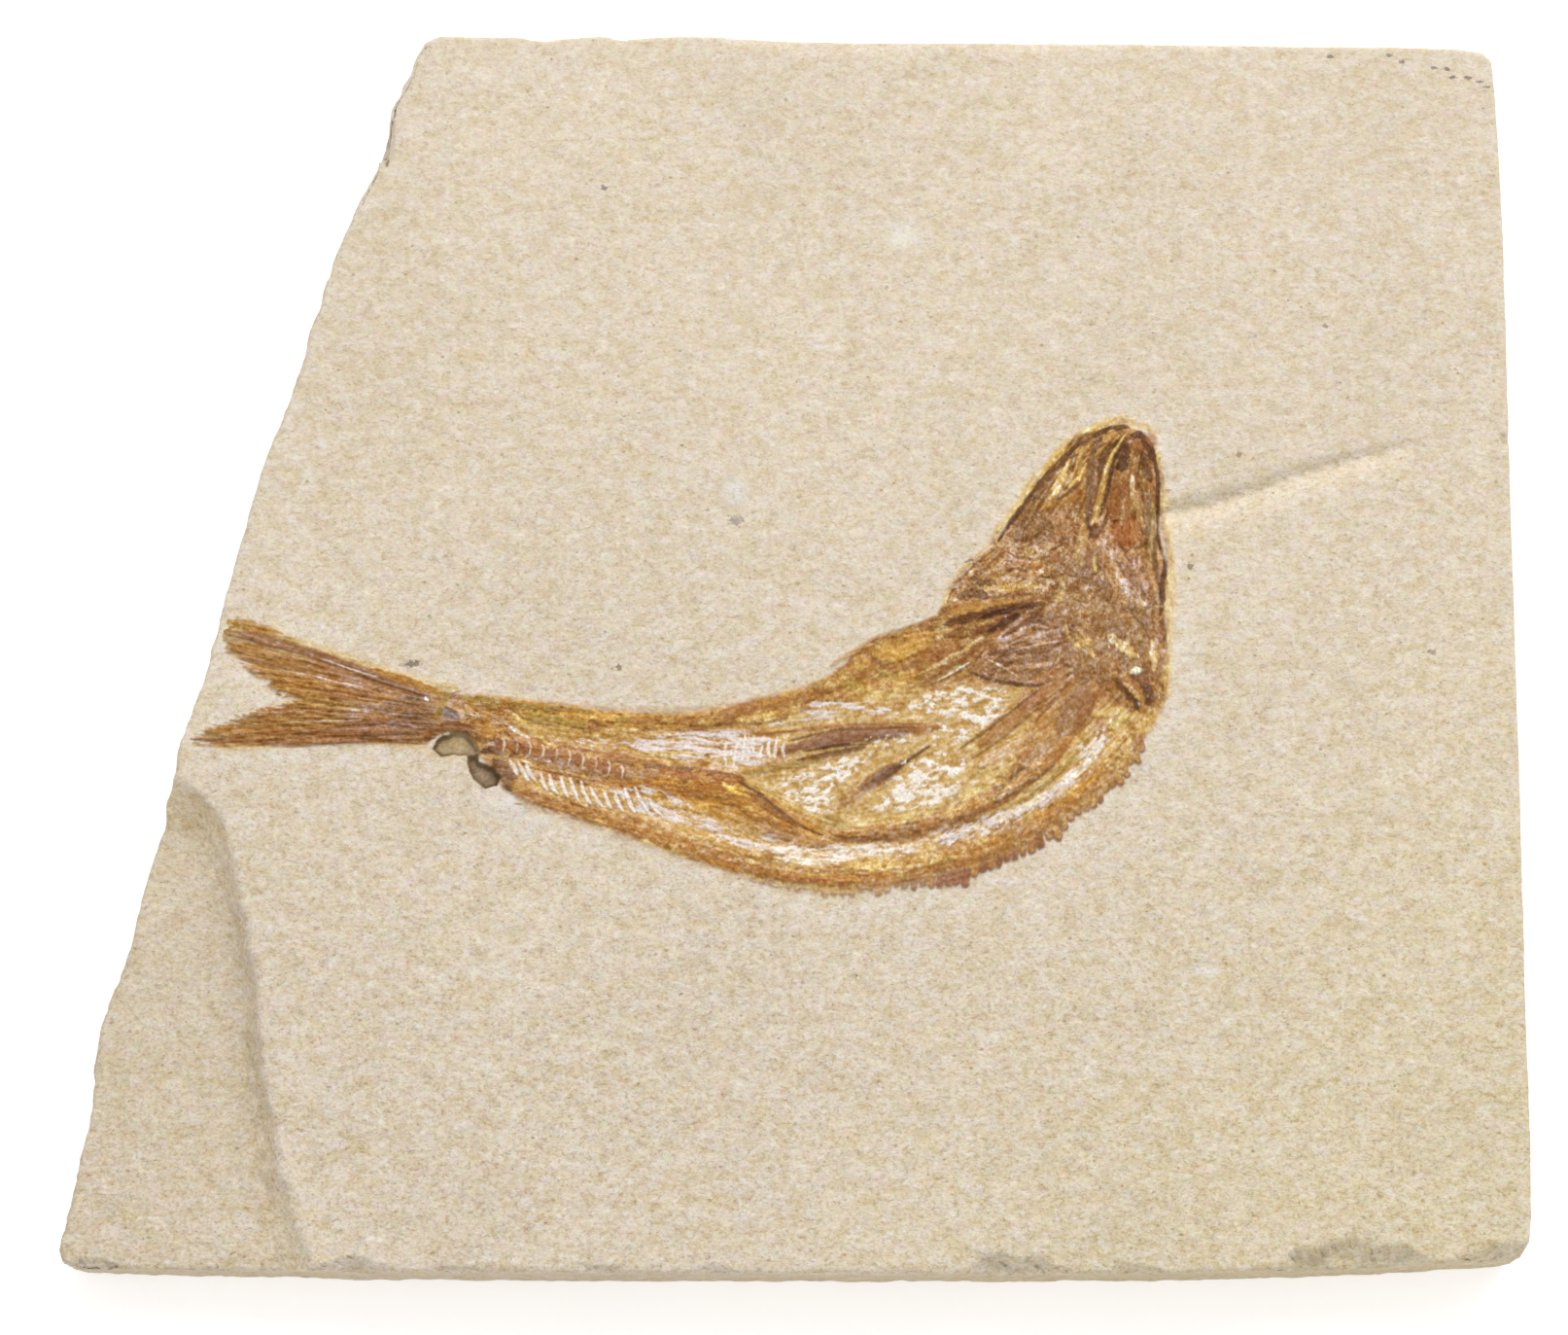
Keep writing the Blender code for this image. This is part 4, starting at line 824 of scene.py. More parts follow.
        ("umber", 0.8, 0.26, 13.2, 1, 14.4, 1.6, 15.4, 2.2),
        ("darkBrown", 0.8, 0.16, 17.2, 3, 16.6, 2.2, 15.2, 1.2, 14.2, 0.6),
        ("amber", 0.85, 0.9, 9.4, 0.7, 7.4, -0.2, 5.4, -0.6),
        ("chestnut", 0.8, 0.6, 11.4, -0.2, 9.6, -0.4, 8.4, -0.8),
        ("brown", 0.8, 0.16, 8.8, -2.6, 10.4, -1.6, 12, -0.6, 13.2, 0.4),
        ("honey", 0.85, 0.14, 8.4, -2, 10, -1.2, 11.6, -0.3, 12.8, 0.6),
        ("sand", 0.85, 0.12, 9.6, -2.6, 11, -1.8, 12.6, -0.9),
        ("darkBrown", 0.75, 0.09, 9.2, -2.8, 10.8, -2, 12.4, -1, 13, -0.2),
    ),
    "throat": (
        ("umber", 0.9, 0.26, 21.9, -2.2, 22.6, -3, 23.3, -3.8, 23.6, -4.5),
        ("umber", 0.85, 0.3, 23.8, -2.6, 24.4, -3.4, 24.3, -4.2),
        ("honey", 0.9, 0.2, 22.5, -2.6, 23.2, -3.2, 23.9, -3.9),
        ("straw", 0.9, 0.3, 22.8, -4.6, 21.6, -4.6, 20.4, -4.9),
    ),
    "jaw": (
        ("umber", 0.95, 0.17, 24.7, 14.4, 24.9, 13.2, 25.1, 11.8, 25.1, 10.4, 25.05, 9, 25.1, 7.6, 25.2,
         6.8),
        ("umber", 0.95, 0.22, 25.4, 6.9, 25.6, 6, 25.5, 5.2, 25.3, 4.4, 25.3, 3.4, 25.2, 2.2),
        ("brown", 0.8, 0.3, 22.3, 12.2, 22.1, 11.2, 21.9, 10.2, 21.6, 9),
        ("darkBrown", 0.8, 0.16, 21.9, 10, 21.5, 9, 21.2, 8.3, 20.6, 7.4),
        ("redBrown", 0.8, 0.4, 22.9, 11.9, 22.4, 10.8, 22.1, 9.8, 22, 8.4),
        ("paleRose", 0.9, 0.17, 23.3, 12.1, 23.4, 11, 23.5, 10.2, 23.7, 9.4),
        ("rose", 0.8, 0.26, 23.5, 10.9, 23.7, 9.9, 23.9, 8.8),
        ("mauve", 0.8, 0.2, 24.2, 10.8, 24.3, 9.6, 24.4, 8.4),
        ("blueGrey", 0.7, 0.12, 24.5, 10.8, 24.5, 9.4, 24.5, 8.2, 24.6, 7.2),
        ("grey", 0.8, 0.24, 24.8, 9.8, 24.8, 8.4, 24.5, 7, 24.6, 5.8),
        ("darkMauve", 0.85, 0.18, 24.9, 7.8, 24.8, 6.6, 24.9, 5.4, 25, 4.4),
        ("rust", 0.9, 0.55, 23.2, 9.1, 23, 8.2, 22.9, 7.4, 22.9, 6.7),
        ("rust", 0.8, 0.45, 22.2, 8.6, 22.3, 7.8, 22.6, 7),
        ("redBrown", 0.7, 0.16, 22.2, 9, 22.6, 8, 22.7, 7, 23, 6.1),
        ("paleRose", 0.85, 0.35, 21.8, 7.8, 21.5, 6.8, 21.7, 5.8, 22.3, 4.9, 23, 4.2),
        ("pearl", 0.6, 0.12, 21.9, 7.2, 21.9, 6.2, 22.3, 5.2),
        ("rose", 0.8, 0.3, 21.2, 6.4, 21.6, 5.2, 22.4, 4),
        ("mauve", 0.7, 0.3, 23.4, 6.2, 23, 5.4, 23.6, 4.4, 24, 3.6),
        ("darkBrown", 0.8, 0.18, 24, 5.6, 23.9, 5.1),
    ),
    "snout": (
        ("umber", 0.95, 0.2, 23.1, 15.5, 22.2, 15.4, 21.3, 15.2, 20.6, 14.8),
        ("umber", 0.95, 0.2, 20.4, 14.6, 19.3, 14, 18.4, 13, 17.5, 12.1, 16.7, 11.2, 16, 10.3, 15.4,
         9.4, 14.5, 8.3, 14, 7.4),
        ("darkBrown", 0.8, 0.22, 18.8, 13.3, 17.9, 12.3, 17.2, 11.4, 16.6, 10.2, 15.6, 8.6),
        ("darkBrown", 0.8, 0.14, 19, 12.8, 18, 11.7, 17.4, 10.8, 16.6, 9.4, 15.7, 8),
        ("sand", 0.95, 0.26, 19.2, 13.2, 18.6, 12.2, 18.1, 11.2, 17.5, 10.3),
        ("honey", 0.95, 0.12, 19.9, 14, 19.6, 13.2, 19.3, 12.4, 19.1, 12),
        ("darkBrown", 0.8, 0.1, 19.4, 13.9, 19.1, 13, 18.9, 12.2),
        ("straw", 0.9, 0.13, 19.7, 12, 19.2, 11.5, 18.9, 11.2),
        ("straw", 0.8, 0.09, 20.1, 12.9, 19.8, 12.2, 19.6, 11.6),
        ("umber", 0.8, 0.13, 19.7, 11.5, 19.2, 11.1, 18.6, 10.6, 18, 10.3),
        ("darkMauve", 0.9, 0.3, 20.9, 14.6, 20.6, 13.4, 20.4, 12, 20.3, 10.6, 20.2, 9.2),
        ("umber", 0.85, 0.28, 22.4, 14.5, 21.6, 13.9, 21.2, 13, 21, 12.2),
        ("darkBrown", 0.85, 0.16, 21.2, 12.4, 20.9, 11.2, 20.7, 10, 20.6, 9.2),
        ("tan", 0.9, 0.34, 22.4, 14.8, 21.8, 14.7, 21.3, 14.5),
        ("straw", 0.95, 0.1, 23, 15.1, 22.3, 14.1, 21.8, 13.2, 21.5, 12.2, 21.3, 11.2, 21, 10.2, 20.7,
         9.1, 20.5, 8.6),
        ("honey", 0.8, 0.15, 21.6, 12.4, 21.2, 11.2, 21, 10.4, 20.7, 9.6, 20.6, 9),
        ("umber", 0.9, 0.16, 22.8, 14.3, 22.2, 13.4, 21.9, 12.4, 21.7, 11.4, 21.4, 10.2, 21.1, 9.2),
        ("umber", 0.9, 0.3, 23.3, 14.9, 24.1, 14.9, 24.5, 14.2, 24.7, 13.2),
        ("umber", 0.85, 0.45, 22.9, 14.2, 22.7, 13.2, 22.6, 12.4),
        ("umber", 0.7, 0.35, 24.1, 13.6, 24.3, 12.4, 24.6, 11.6),
        ("rust", 0.7, 0.3, 24.9, 14.4, 24.7, 14.8, 24.5, 14.3),
    ),
}

# points of each rib, then x, top and bottom of each short spine
ribs = (
    (-19.9, -8, -19.5, -8.5, -19.3, -9.1), (-19.3, -8.1, -18.9, -8.8, -18.5, -9.5),
    (-18.7, -8.2, -18.5, -8.8, -18, -9.5), (-17.7, -8.9, -17.5, -9.6, -17.2, -10.2),
    (-17.1, -9, -16.9, -9.8, -16.5, -10.4), (-16.3, -9.2, -16.1, -9.9, -15.8, -10.6),
    (-15.7, -9.3, -15.4, -10, -15.1, -10.8), (-14.9, -9.5, -14.7, -10.3, -14.2, -11.1),
    (-14.3, -9.9, -13.9, -10.6, -13.4, -11.3), (-13.3, -10.3, -13.1, -10.8, -12.8, -11.4),
    (-12.6, -10.2, -12.4, -10.8, -12, -11.6), (-11.9, -10, -11.6, -10.8, -11.2, -11.7),
    (-11.2, -9.9, -10.9, -10.6, -10.3, -11.6), (-10.2, -10.8, -9.9, -11.3, -9.3, -11.9))
combs = (
    (-3.7, -6.2, -8), (-3.1, -6.3, -7.6), (-2.5, -7, -7.9), (-2, -6.6, -7.9), (-1.5, -6.4, -7.9),
    (-1, -6.8, -7.8), (-4.3, -6.9, -8.4), (-5, -6.8, -8.5), (-3.4, -7.3, -8.2))

# painted highlights of the varnish, as broken pale patches: paint, direction, size, share, stretch, how
# crisp, then outline
highlightFields = (
    ("white", 8, 0.3, 0.46, 2, 1, 7.6, -4, 9.6, -3.2, 12.4, -2.8, 14.6, -3.2, 14.2, -4.6, 12.8, -5.8,
     11, -5.2, 8, -4.8),
    ("white", -4, 0.26, 0.32, 2.4, 1, 9.4, -5.4, 11.8, -5.6, 11.8, -6.8, 9.6, -7, 8.8, -6.6),
    ("white", 6, 0.24, 0.36, 2.2, 1, 4.7, -6.2, 8.4, -6.4, 7.2, -7, 4.7, -7.3),
    ("white", 12, 0.3, 0.46, 2, 1, 7.6, -7.7, 11.4, -7.4, 11.6, -9.2, 10.4, -10.8, 8.2, -11.6, 5.2,
     -11.4, 6.4, -9.6),
    ("white", 22, 0.3, 0.46, 2.2, 1, 5.2, -7.4, 4.2, -8.8, 2.6, -10.2, 2.4, -11.6, 0.4, -11.6, -0.6,
     -10.4, -0.4, -9.2, 2.6, -7.8),
    ("white", 8, 0.28, 0.3, 2.4, 1, -1.8, -9.4, 0.4, -9.2, 0, -10.6, -1.2, -10.4),
    ("lilac", -2, 0.22, 0.58, 4, 0.6, 1.2, -3.9, 4, -3.9, 6.9, -4.2, 6.6, -4.7, 2, -4.9, 0.2, -4.8),
    ("lilac", 8, 0.2, 0.6, 4, 0.6, -1.9, -5.5, 1, -5.1, 2.6, -4.9, 1.4, -5.2, -0.6, -5.6),
    ("lilac", -14, 0.2, 0.55, 4, 0.6, -16.4, -6.2, -13.4, -6.6, -12.8, -7, -15.2, -6.8),
    ("lilac", -5, 0.28, 0.6, 5, 0.3, -12.6, -6.9, -8.6, -6.2, -4.4, -6, -0.8, -6.6, -1.2, -8, -4.2,
     -8.5, -8, -7.9, -11.6, -7.4),
    ("lilac", -18, 0.28, 0.5, 3.4, 0.5, -13.2, -10.1, -10.4, -9.9, -7.6, -11, -5.6, -12.4, -8.4, -12.2,
     -11.6, -11.6),
    ("lilac", -14, 0.22, 0.42, 3.4, 0.8, -8, -11.9, -2.6, -13.2, 1.6, -14, -0.6, -14.8, -5, -13.8),
    ("lilac", 32, 0.26, 0.5, 3, 0.9, 8.6, -13.6, 11.2, -12.2, 14.6, -11.6, 17.4, -10.2, 20.6, -6.8,
     21.4, -6.6, 19.6, -9.2, 15.4, -12.4, 10.6, -14),
    ("white", 4, 0.22, 0.42, 3.4, 0.9, 9.4, -13.7, 5.6, -13.6, 1, -14.2, -2.6, -13.9, -0.6, -15.2, 3.4,
     -15.2, 7.4, -14.6),
    ("white", 46, 0.22, 0.36, 2.4, 0.8, 19.4, -6.6, 21.2, -5.8, 21.2, -6.8, 19.8, -8),
)

tail = {
    "rays": 58,
    "root": pairs(-25.4, -3.4, -25.4, -6.5),
    "fringe": pairs(
        -23.8, -3.3, -25.5, -2.8, -27.4, -2.1, -29.6, -1.5, -32, -0.5, -34.2, 0.2, -36, 0.9, -37.3, 1.3,
        -38.4, 1.7, -39.5, 1.7, -39.9, 1.1, -39.7, 0, -38.9, -0.7, -38.3, -1.1, -37.3, -1.5, -38.1,
        -1.7, -36.4, -2.1, -36.9, -2.8, -35.8, -3.4, -34.1, -3.5, -34.7, -3.8, -35.9, -4.3, -37.3, -4.8,
        -39.2, -5.3, -40.8, -6, -41.6, -6.8, -39.9, -7, -37.9, -6.8, -35.6, -6.6, -33.3, -6.5, -31.4,
        -6.5, -29.5, -6.7, -26.8, -6.9, -25.5, -6.9),
    "paints": (
        ("mauve", "brown", "chestnut", "rose"), ("amber", "rose", "chestnut", "tan"),
        ("amber", "tan", "rose", "mauve"), ("brown", "chestnut", "rose", "mauve")),
}


def startSheet():
    # depth inside the fish's outline, worked out on every third point and spread
    coarseX, coarseY = gridX[::3, ::3], gridY[::3, ::3]
    near = insideOf(coarseX, coarseY, patchBorder)
    depth = np.full(coarseX.shape, -3.0)
    depth[near] = depthInside(coarseX[near], coarseY[near], fishEdge)
    u, v = [np.arange(count) / 3.0 for count in gridX.shape]
    return between(depth, u[:, None], v[None, :])


everywhere = (slice(None), slice(None))
edgeDepth = startSheet()
ragged = edgeDepth + 0.10 * noise(gridX * 1.9, gridY * 1.9, 61, 4, 0.6)
outerTail = smooth(-29.0, -33.0, gridX)
art["alpha"] = smooth(-0.32, 0.04, ragged) * (1 - 0.92 * outerTail)
art["colour"][...] = linear(paints["tan"])
lay(everywhere, smooth(0.05, -0.1, ragged) * smooth(8.0, 12.0, gridX) * (gridY > -6.0), "halo")
art["gloss"] += art["alpha"]

# golden stain that the bone leaves on the stone around it
stains = (
    ("halo", 0.8, 0.34, 23.4, 15.9, 22.3, 16, 20.6, 15.3, 19, 14.4, 17.7, 13, 16.2, 11.2, 15.1, 9.6, 14,
     8.2, 13.6, 7.2),
    ("halo", 0.75, 0.26, 14.2, 7.6, 12.8, 6.5, 11.6, 5.5, 10.8, 4.4, 10.3, 3),
    ("halo", 0.7, 0.3, 23.9, 15.7, 24.6, 15.4, 24.9, 14.2, 25.2, 12.6, 25.5, 10.8, 25.5, 8.8, 25.8, 7.2,
     26, 5.4, 25.9, 3, 25.7, 0.8, 25.6, -2, 25.5, -3.6),
    ("straw", 0.6, 0.28, 25.3, -3.6, 24.4, -5, 23.2, -6.4),
    ("honey", 0.5, 0.22, 9.6, 2, 7.6, 1.2, 5.4, 0.6, 3.6, -0.6, 2.4, -1.4),
    ("honey", 0.45, 0.26, 2.6, -2.2, 0, -3, -4, -4.1, -10, -4.6, -17, -4.1, -22, -3.4),
    ("honey", 0.4, 0.3, -19, -10.9, -14, -12.6, -9, -14.3, -4, -15.9, 1, -17.1, 6, -17),
    ("straw", 0.6, 0.3, -23.6, -3, -27, -2.2, -31, -0.8, -34.6, 0.3, -37.4, 1.2, -39.4, 1.7),
    ("straw", 0.5, 0.24, -26, -7.1, -28, -6.9, -31, -6.6, -35, -6.9, -40, -7.1),
    ("straw", 0.35, 0.4, -24, -7.9, -24.9, -7.6, -25.6, -7.2),
)
for paint, opacity, width, *numbers in stains:
    stroke(paint, opacity, 0.0, width, pairs(*numbers), 0.75, 0.35, 0.3, gloss=0.35, grow=True)

# hair-thin fragments beside the head, the back and the belly
fragments = (
    ("olive", 25.2, 13, 25.3, 13.4), ("darkOlive", 25.6, 11, 26, 11.05),
    ("olive", 25.6, 9.8, 25.9, 9.9), ("umber", 12.2, 6.1, 11.6, 5.9), ("umber", 12.3, 6, 11.9, 6.1),
    ("olive", 25.9, 6.2, 26.2, 5.9), ("amber", 4.6, -0.4, 2.5, -1.1), ("amber", 5.4, 0.1, 3.4, -0.5),
    ("brown", 4.2, -1.5, 2.9, -2.2), ("honey", 6.6, 0.8, 5, 0.3),
    ("darkBrown", -24.2, -3.4, -23.2, -3.1), ("amber", -18.9, -12.2, -18.1, -13.3),
    ("umber", -19.5, -11, -19, -11.05))
for paint, *numbers in fragments:
    stroke(paint, 0.75, 0.02, 0.06, pairs(*numbers), 0.6, 0.3, grow=True)


belly = {"from": 23.6, "to": -3.0, "pitch": 0.62}     # the row of scutes, between two x


def scutes():
    # overlapping lobes below the throat, then blunt teeth, then soft bumps along the belly
    pick = np.random.default_rng(88)
    edge = sectionLine[:, 2:]
    place = lengths(edge)
    start, end = [place[np.argmax(edge[:, 0] < belly[name])] for name in ("from", "to")]
    down = np.array((-0.1, -1.0))
    for where in np.arange(start, end, belly["pitch"]):
        at, after = [np.array([np.interp(spot, place, edge[:, k]) for k in (0, 1)])
                     for spot in (where, where + 0.5)]
        out = (after - at)[::-1] / np.hypot(*(after - at)) * (-1, 1)
        lobe, tooth = smooth(15.5, 18.0, at[0]), smooth(5.0, 12.0, at[0])
        way = down + (out - down) * 0.5 * lobe
        long = (0.65 + 0.45 * pick.random()) * (0.35 + 0.65 * tooth)
        half = 0.21 + 0.07 * pick.random() + 0.04 * lobe
        names = ("chestnut", "brown", "amber", "redBrown")
        if lobe > 0.5:
            names = ("tan", "honey", "rose", "chestnut")
        at = at + 0.12 * pick.normal() * way
        line = (at - 0.35 * way, at + 0.4 * long * way, at + long * way)
        stroke("brown", 0.6 + 0.35 * tooth, 0.07, half + 0.05, line, 0.3, 0.25, 0.15, gloss=1.0, grow=True)
        core = [p - 0.07 * way for p in line]
        stroke(anyOf(names, pick), 0.85, 0.05, half - 0.05, core, 0.4, 0.3, 0.2)


scutes()

for i, part in enumerate(regions.values()):
    place = window(part["outline"], 1.0)
    x, y = gridX[place], gridY[place]
    depth = depthInside(x, y, part["outline"]) + 0.3 * noise(x * 1.3, y * 1.3, 40 + i, 3, 0.6)
    inside = smooth(-0.4, 0.4, depth)
    lay(place, inside, *part["ground"])
    blotches(place, inside, part["paints"], 700 + 10 * i)
    fibres(part["outline"], part["paints"], part["broken"], *part["fibres"], 300 + i)
print("ground painted")

darkPaints = ("umber", "darkBrown", "brown", "redBrown", "darkOlive", "olive", "darkMauve", "blueGrey")
for rows in strokes.values():
    for paint, opacity, width, *numbers in rows:
        lift = 0.0 if paint in darkPaints and width < 0.15 else min(0.25 * width, 0.1)
        stroke(paint, opacity, lift, width, pairs(*numbers))


def tailFin():
    # an amber fringe carries wavy rays that fray into soft tips
    place = window(tail["fringe"], 0.6)
    x, y = gridX[place], gridY[place]
    outer = smooth(-33.0, -38.0, x)
    fray = (0.08 + 0.5 * outer) * noise(x * 0.7, (y + 0.25 * x) * 4.2, 55, 3, 0.7)
    depth = depthInside(x, y, tail["fringe"]) + fray
    mottled = smooth(-0.3, 0.3, noise(x * 0.8, y * 2.4, 56, 3))
    lay(place, smooth(-0.12, 0.16, depth) * (0.72 + 0.25 * mottled), "olive", 1.0, gloss=0.6, grow=True)
    lay(place, smooth(0.05, 0.5, depth) * mottled, "amber", 0.7)
    lay(place, smooth(0.2, 0.9, depth) * smooth(-40.0, -33.0, x), "rose", 0.75)
    pick = np.random.default_rng(77)
    tips = curveThrough(tailTips, 8)
    reach = lengths(tips) / lengths(tips)[-1]
    for i in range(tail["rays"]):
        share = (i + 0.5) / tail["rays"]
        tip = np.array([np.interp(share, reach, tips[:, k]) for k in (0, 1)])
        a, b = tail["root"]
        start = np.array((a[0] + (b[0] - a[0]) * share, a[1] + (b[1] - a[1]) * share ** 0.95))
        bow = 0.55 * math.sin(math.pi * share) * (1 if share < 0.6 else -1)
        middle = start + (tip - start) * 0.5 + np.array((0.0, 0.35 - 0.9 * share + 0.2 * bow))
        tip = tip + (start - tip) * 0.14 * pick.random() ** 2
        line = np.array([start, start + (middle - start) * 0.5, middle,
                         middle + (tip - middle) * 0.55, tip])
        line[1:, 1] += 0.09 * pick.normal(size=4)
        names = tail["paints"][min(int(share * 5.0), 3) if share > 0.12 else 0]
        width = 0.07 + 0.08 * pick.random()
        stroke(anyOf(names, pick), 0.55, 0.05, width, line, 0.8, 0.5, 0.3, grow=True)
        outer = (middle, middle + (tip - middle) * 0.6, tip)
        paint = ("amber", "brown", "olive", "honey")[i % 4]
        stroke(paint, 0.6, 0.03, width, outer, 0.7, 0.4, 0.6, grow=True)
        if i % 2:
            shade = line + np.array((0.0, -0.09))
            stroke(("redBrown", "mauve", "brown")[i % 3], 0.25, -0.02, 0.05, shade, 0.9, 0.5)


tailFin()
tailLines = (
    ("mauve", 0.8, 0.3, -25.4, -3.6, -28.8, -2.3, -32.3, -1, -35.7, 0.15, -38.6, 0.9),
    ("brown", 0.9, 0.4, -25.7, -6.6, -24.9, -5.95, -23.9, -5.75, -22.8, -5.85, -21.9, -6.6),
    ("brown", 0.6, 0.11, -25.4, -3.4, -28.8, -2.1, -32.3, -0.8, -35.7, 0.4, -37.3, 0.9, -39.4, 1.05),
    ("amber", 0.8, 0.22, -24.6, -3.2, -27, -2.4, -29.4, -1.6),
    ("brown", 0.7, 0.13, -26.2, -6.8, -28.4, -6.6, -31, -6.35, -34, -6.4, -37, -6.6, -40.6, -6.85),
    ("brown", 0.7, 0.16, -26, -6.3, -30, -6.1, -33.6, -6, -37.4, -6.2, -40, -6.5),
    ("redBrown", 0.6, 0.18, -28.6, -2.9, -30, -3.4, -31.4, -3.6, -33, -3.3),
    ("rose", 0.5, 0.15, -27.4, -4.9, -31, -4.9, -34.4, -4.6, -37.2, -4.8),
    ("mauve", 0.8, 0.6, -25.2, -4.4, -27, -4.2, -28.6, -4.3),
    ("mauve", 0.8, 0.5, -25, -5.4, -26.6, -5.6, -28.2, -5.6),
    ("darkMauve", 0.6, 0.2, -25, -4.8, -26.2, -4.9, -27.6, -5),
    ("darkMauve", 0.8, 0.16, -29.6, -6.1, -30, -6.5, -29.3, -6.6),
    ("blueGrey", 0.6, 0.12, -27.4, -3.6, -26.4, -3.6, -25.6, -3.9),
    ("pearl", 0.6, 0.06, -29, -2.2, -31, -1.6, -33, -0.9),
    ("pearl", 0.6, 0.06, -30, -2.9, -32, -2.5, -34, -2, -36, -1.7),
    ("pearl", 0.5, 0.06, -30, -5.2, -33, -5.3, -35.6, -5.4),
    ("amber", 0.7, 0.16, -35.6, 0.9, -37.6, 1.5, -39.7, 1.65),
    ("amber", 0.6, 0.14, -37, -6.9, -41.6, -6.95),
    ("amber", 0.8, 0.1, -33.6, -2.9, -35, -2.75, -36.4, -2.9),
    ("brown", 0.7, 0.08, -33.4, -2.4, -35.4, -2.1, -37, -1.9),
    ("amber", 0.7, 0.09, -33.8, -3.3, -34.9, -3.4, -35.6, -3.6),
    ("straw", 0.6, 0.09, -32, -3.9, -34, -3.5, -36, -3),
    ("straw", 0.5, 0.09, -33, -4.2, -35, -4, -36.6, -4.3),
    ("white", 0.95, 0.1, -25.7, -3.6, -25.5, -3.9),
    ("umber", 0.8, 0.06, -36.1, -3.35, -35.6, -3.45),
)
for paint, opacity, width, *numbers in tailLines:
    stroke(paint, opacity, 0.05, width, pairs(*numbers), grow=True)

# grain, broken plates and the final tone of each part
comb = {
    "long": 0.09, "short": 0.12, "grit": 0.44,     # long and short grain, and the grit between them
    "plates": 0.36, "cracks": 0.5, "paintedGlints": 0.75,
    "follow": (0.55, 0.93, 2.1),     # how far red, green and blue follow the light and dark
    "greenest": 0.94, "bluest": 0.88,     # most green and blue beside the red
    "warmth": 0.03, "lift": 0.012,
}
broken = np.full(gridX.shape, 0.5)
toned = np.ones(gridX.shape + (3,))
punch = np.zeros(gridX.shape)
brightness = art["colour"].mean(axis=-1)
middle = np.full(gridX.shape, brightness.mean())
for i, part in enumerate(regions.values()):
    place = window(part["outline"], 1.0)
    share = smooth(-0.7, 0.7, depthInside(gridX[place], gridY[place], part["outline"]))
    broken[place] += (part["broken"] - broken[place]) * share
    toned[place] += (np.array(part["tone"]) - toned[place]) * share[..., None]
    punch[place] += (part["punch"] - punch[place]) * share
    middle[place] += (brightness[place][share > 0.9].mean() - middle[place]) * share
    knobs(part["outline"], *part["lumps"], part["paints"], 600 + i)
spine = curveThrough(pairs(-42, -3, -25, -5, -10, -7.6, 5, -7.4, 14, -4.6, 19, 0, 21.6, 6, 22.6, 16), 6)
aside, side, along = nearestOn(gridX, gridY, spine)
wobble = 0.5 * noise(gridX * 2.0, gridY * 2.0, 406, 3)
seam, own = shards(along / 0.62 + wobble, aside * side / 0.30 + wobble, 407)
grit = noise(gridX * 4.2, gridY * 4.2, 403, 3, 0.75)
light = np.exp(comb["long"] * longFibre + comb["short"] * shortFibre + comb["grit"] * grit
               + comb["plates"] * (own - 0.5) * broken
               + punch * np.clip(np.log(np.maximum(brightness, 1e-4) / middle), -1.0, 1.0))
warm = comb["warmth"] * (combed(404, 4, 2) + 1.5 * noise(gridX * 1.4, gridY * 1.4, 405, 3))
cast = 1 + warm[..., None] * np.array((0.25, 0.0, -1.0))     # redder and less blue
art["colour"] *= toned * light[..., None] ** np.array(comb["follow"]) * cast
art["colour"][..., 2] = np.minimum(art["colour"][..., 2], comb["bluest"] * art["colour"][..., 0])
cracks = smooth(0.14, 0.0, seam) * smooth(0.0, 0.5, broken) * smooth(-0.5, 0.5, grit)
lay(everywhere, cracks * broken, "darkBrown", comb["cracks"])
# painted highlights: tiny lilac sparkles on the broken bone, as on a wet surface
sparks = noise(gridX * 5.0, gridY * 5.0, 409, 2, 0.8) + 0.10 * shortFibre
level = np.quantile(sparks[::3, ::3], 0.993)
paintedGlints = smooth(level, level + 0.06, sparks) * smooth(0.45, 0.8, broken)
lay(everywhere, paintedGlints, "lilac", comb["paintedGlints"])
art["lift"] += comb["lift"] * (longFibre + shortFibre) + 0.03 * broken * (own - 0.5) - 0.03 * cracks

# painted highlights: pale patches where the varnished bone shines
for i, row in enumerate(highlightFields):
    highlightFlecks(*row[:6], pairs(*row[6:]), 500 + i)
# ribs and short spines painted white: partly pale bone, partly a painted highlight of the varnish; the thin
# brown line beside each rib is painted shade
for numbers in ribs:
    rib = pairs(*numbers)
    stroke("white", 0.85, 0.10, 0.16, rib, 0.4, 0.2, 0.7, gloss=1.0)
    stroke("brown", 0.4, -0.02, 0.06, [(x + 0.2, y - 0.02) for x, y in rib], 0.6)
for i, (x, top, bottom) in enumerate(combs):
    line = ((x + 0.12, top), (x, (top + bottom) / 2), (x - 0.06 + 0.2 * (i % 2), bottom))
    stroke("white", 0.8, 0.05, 0.12, line, 0.4, 0.4, gloss=1.0)

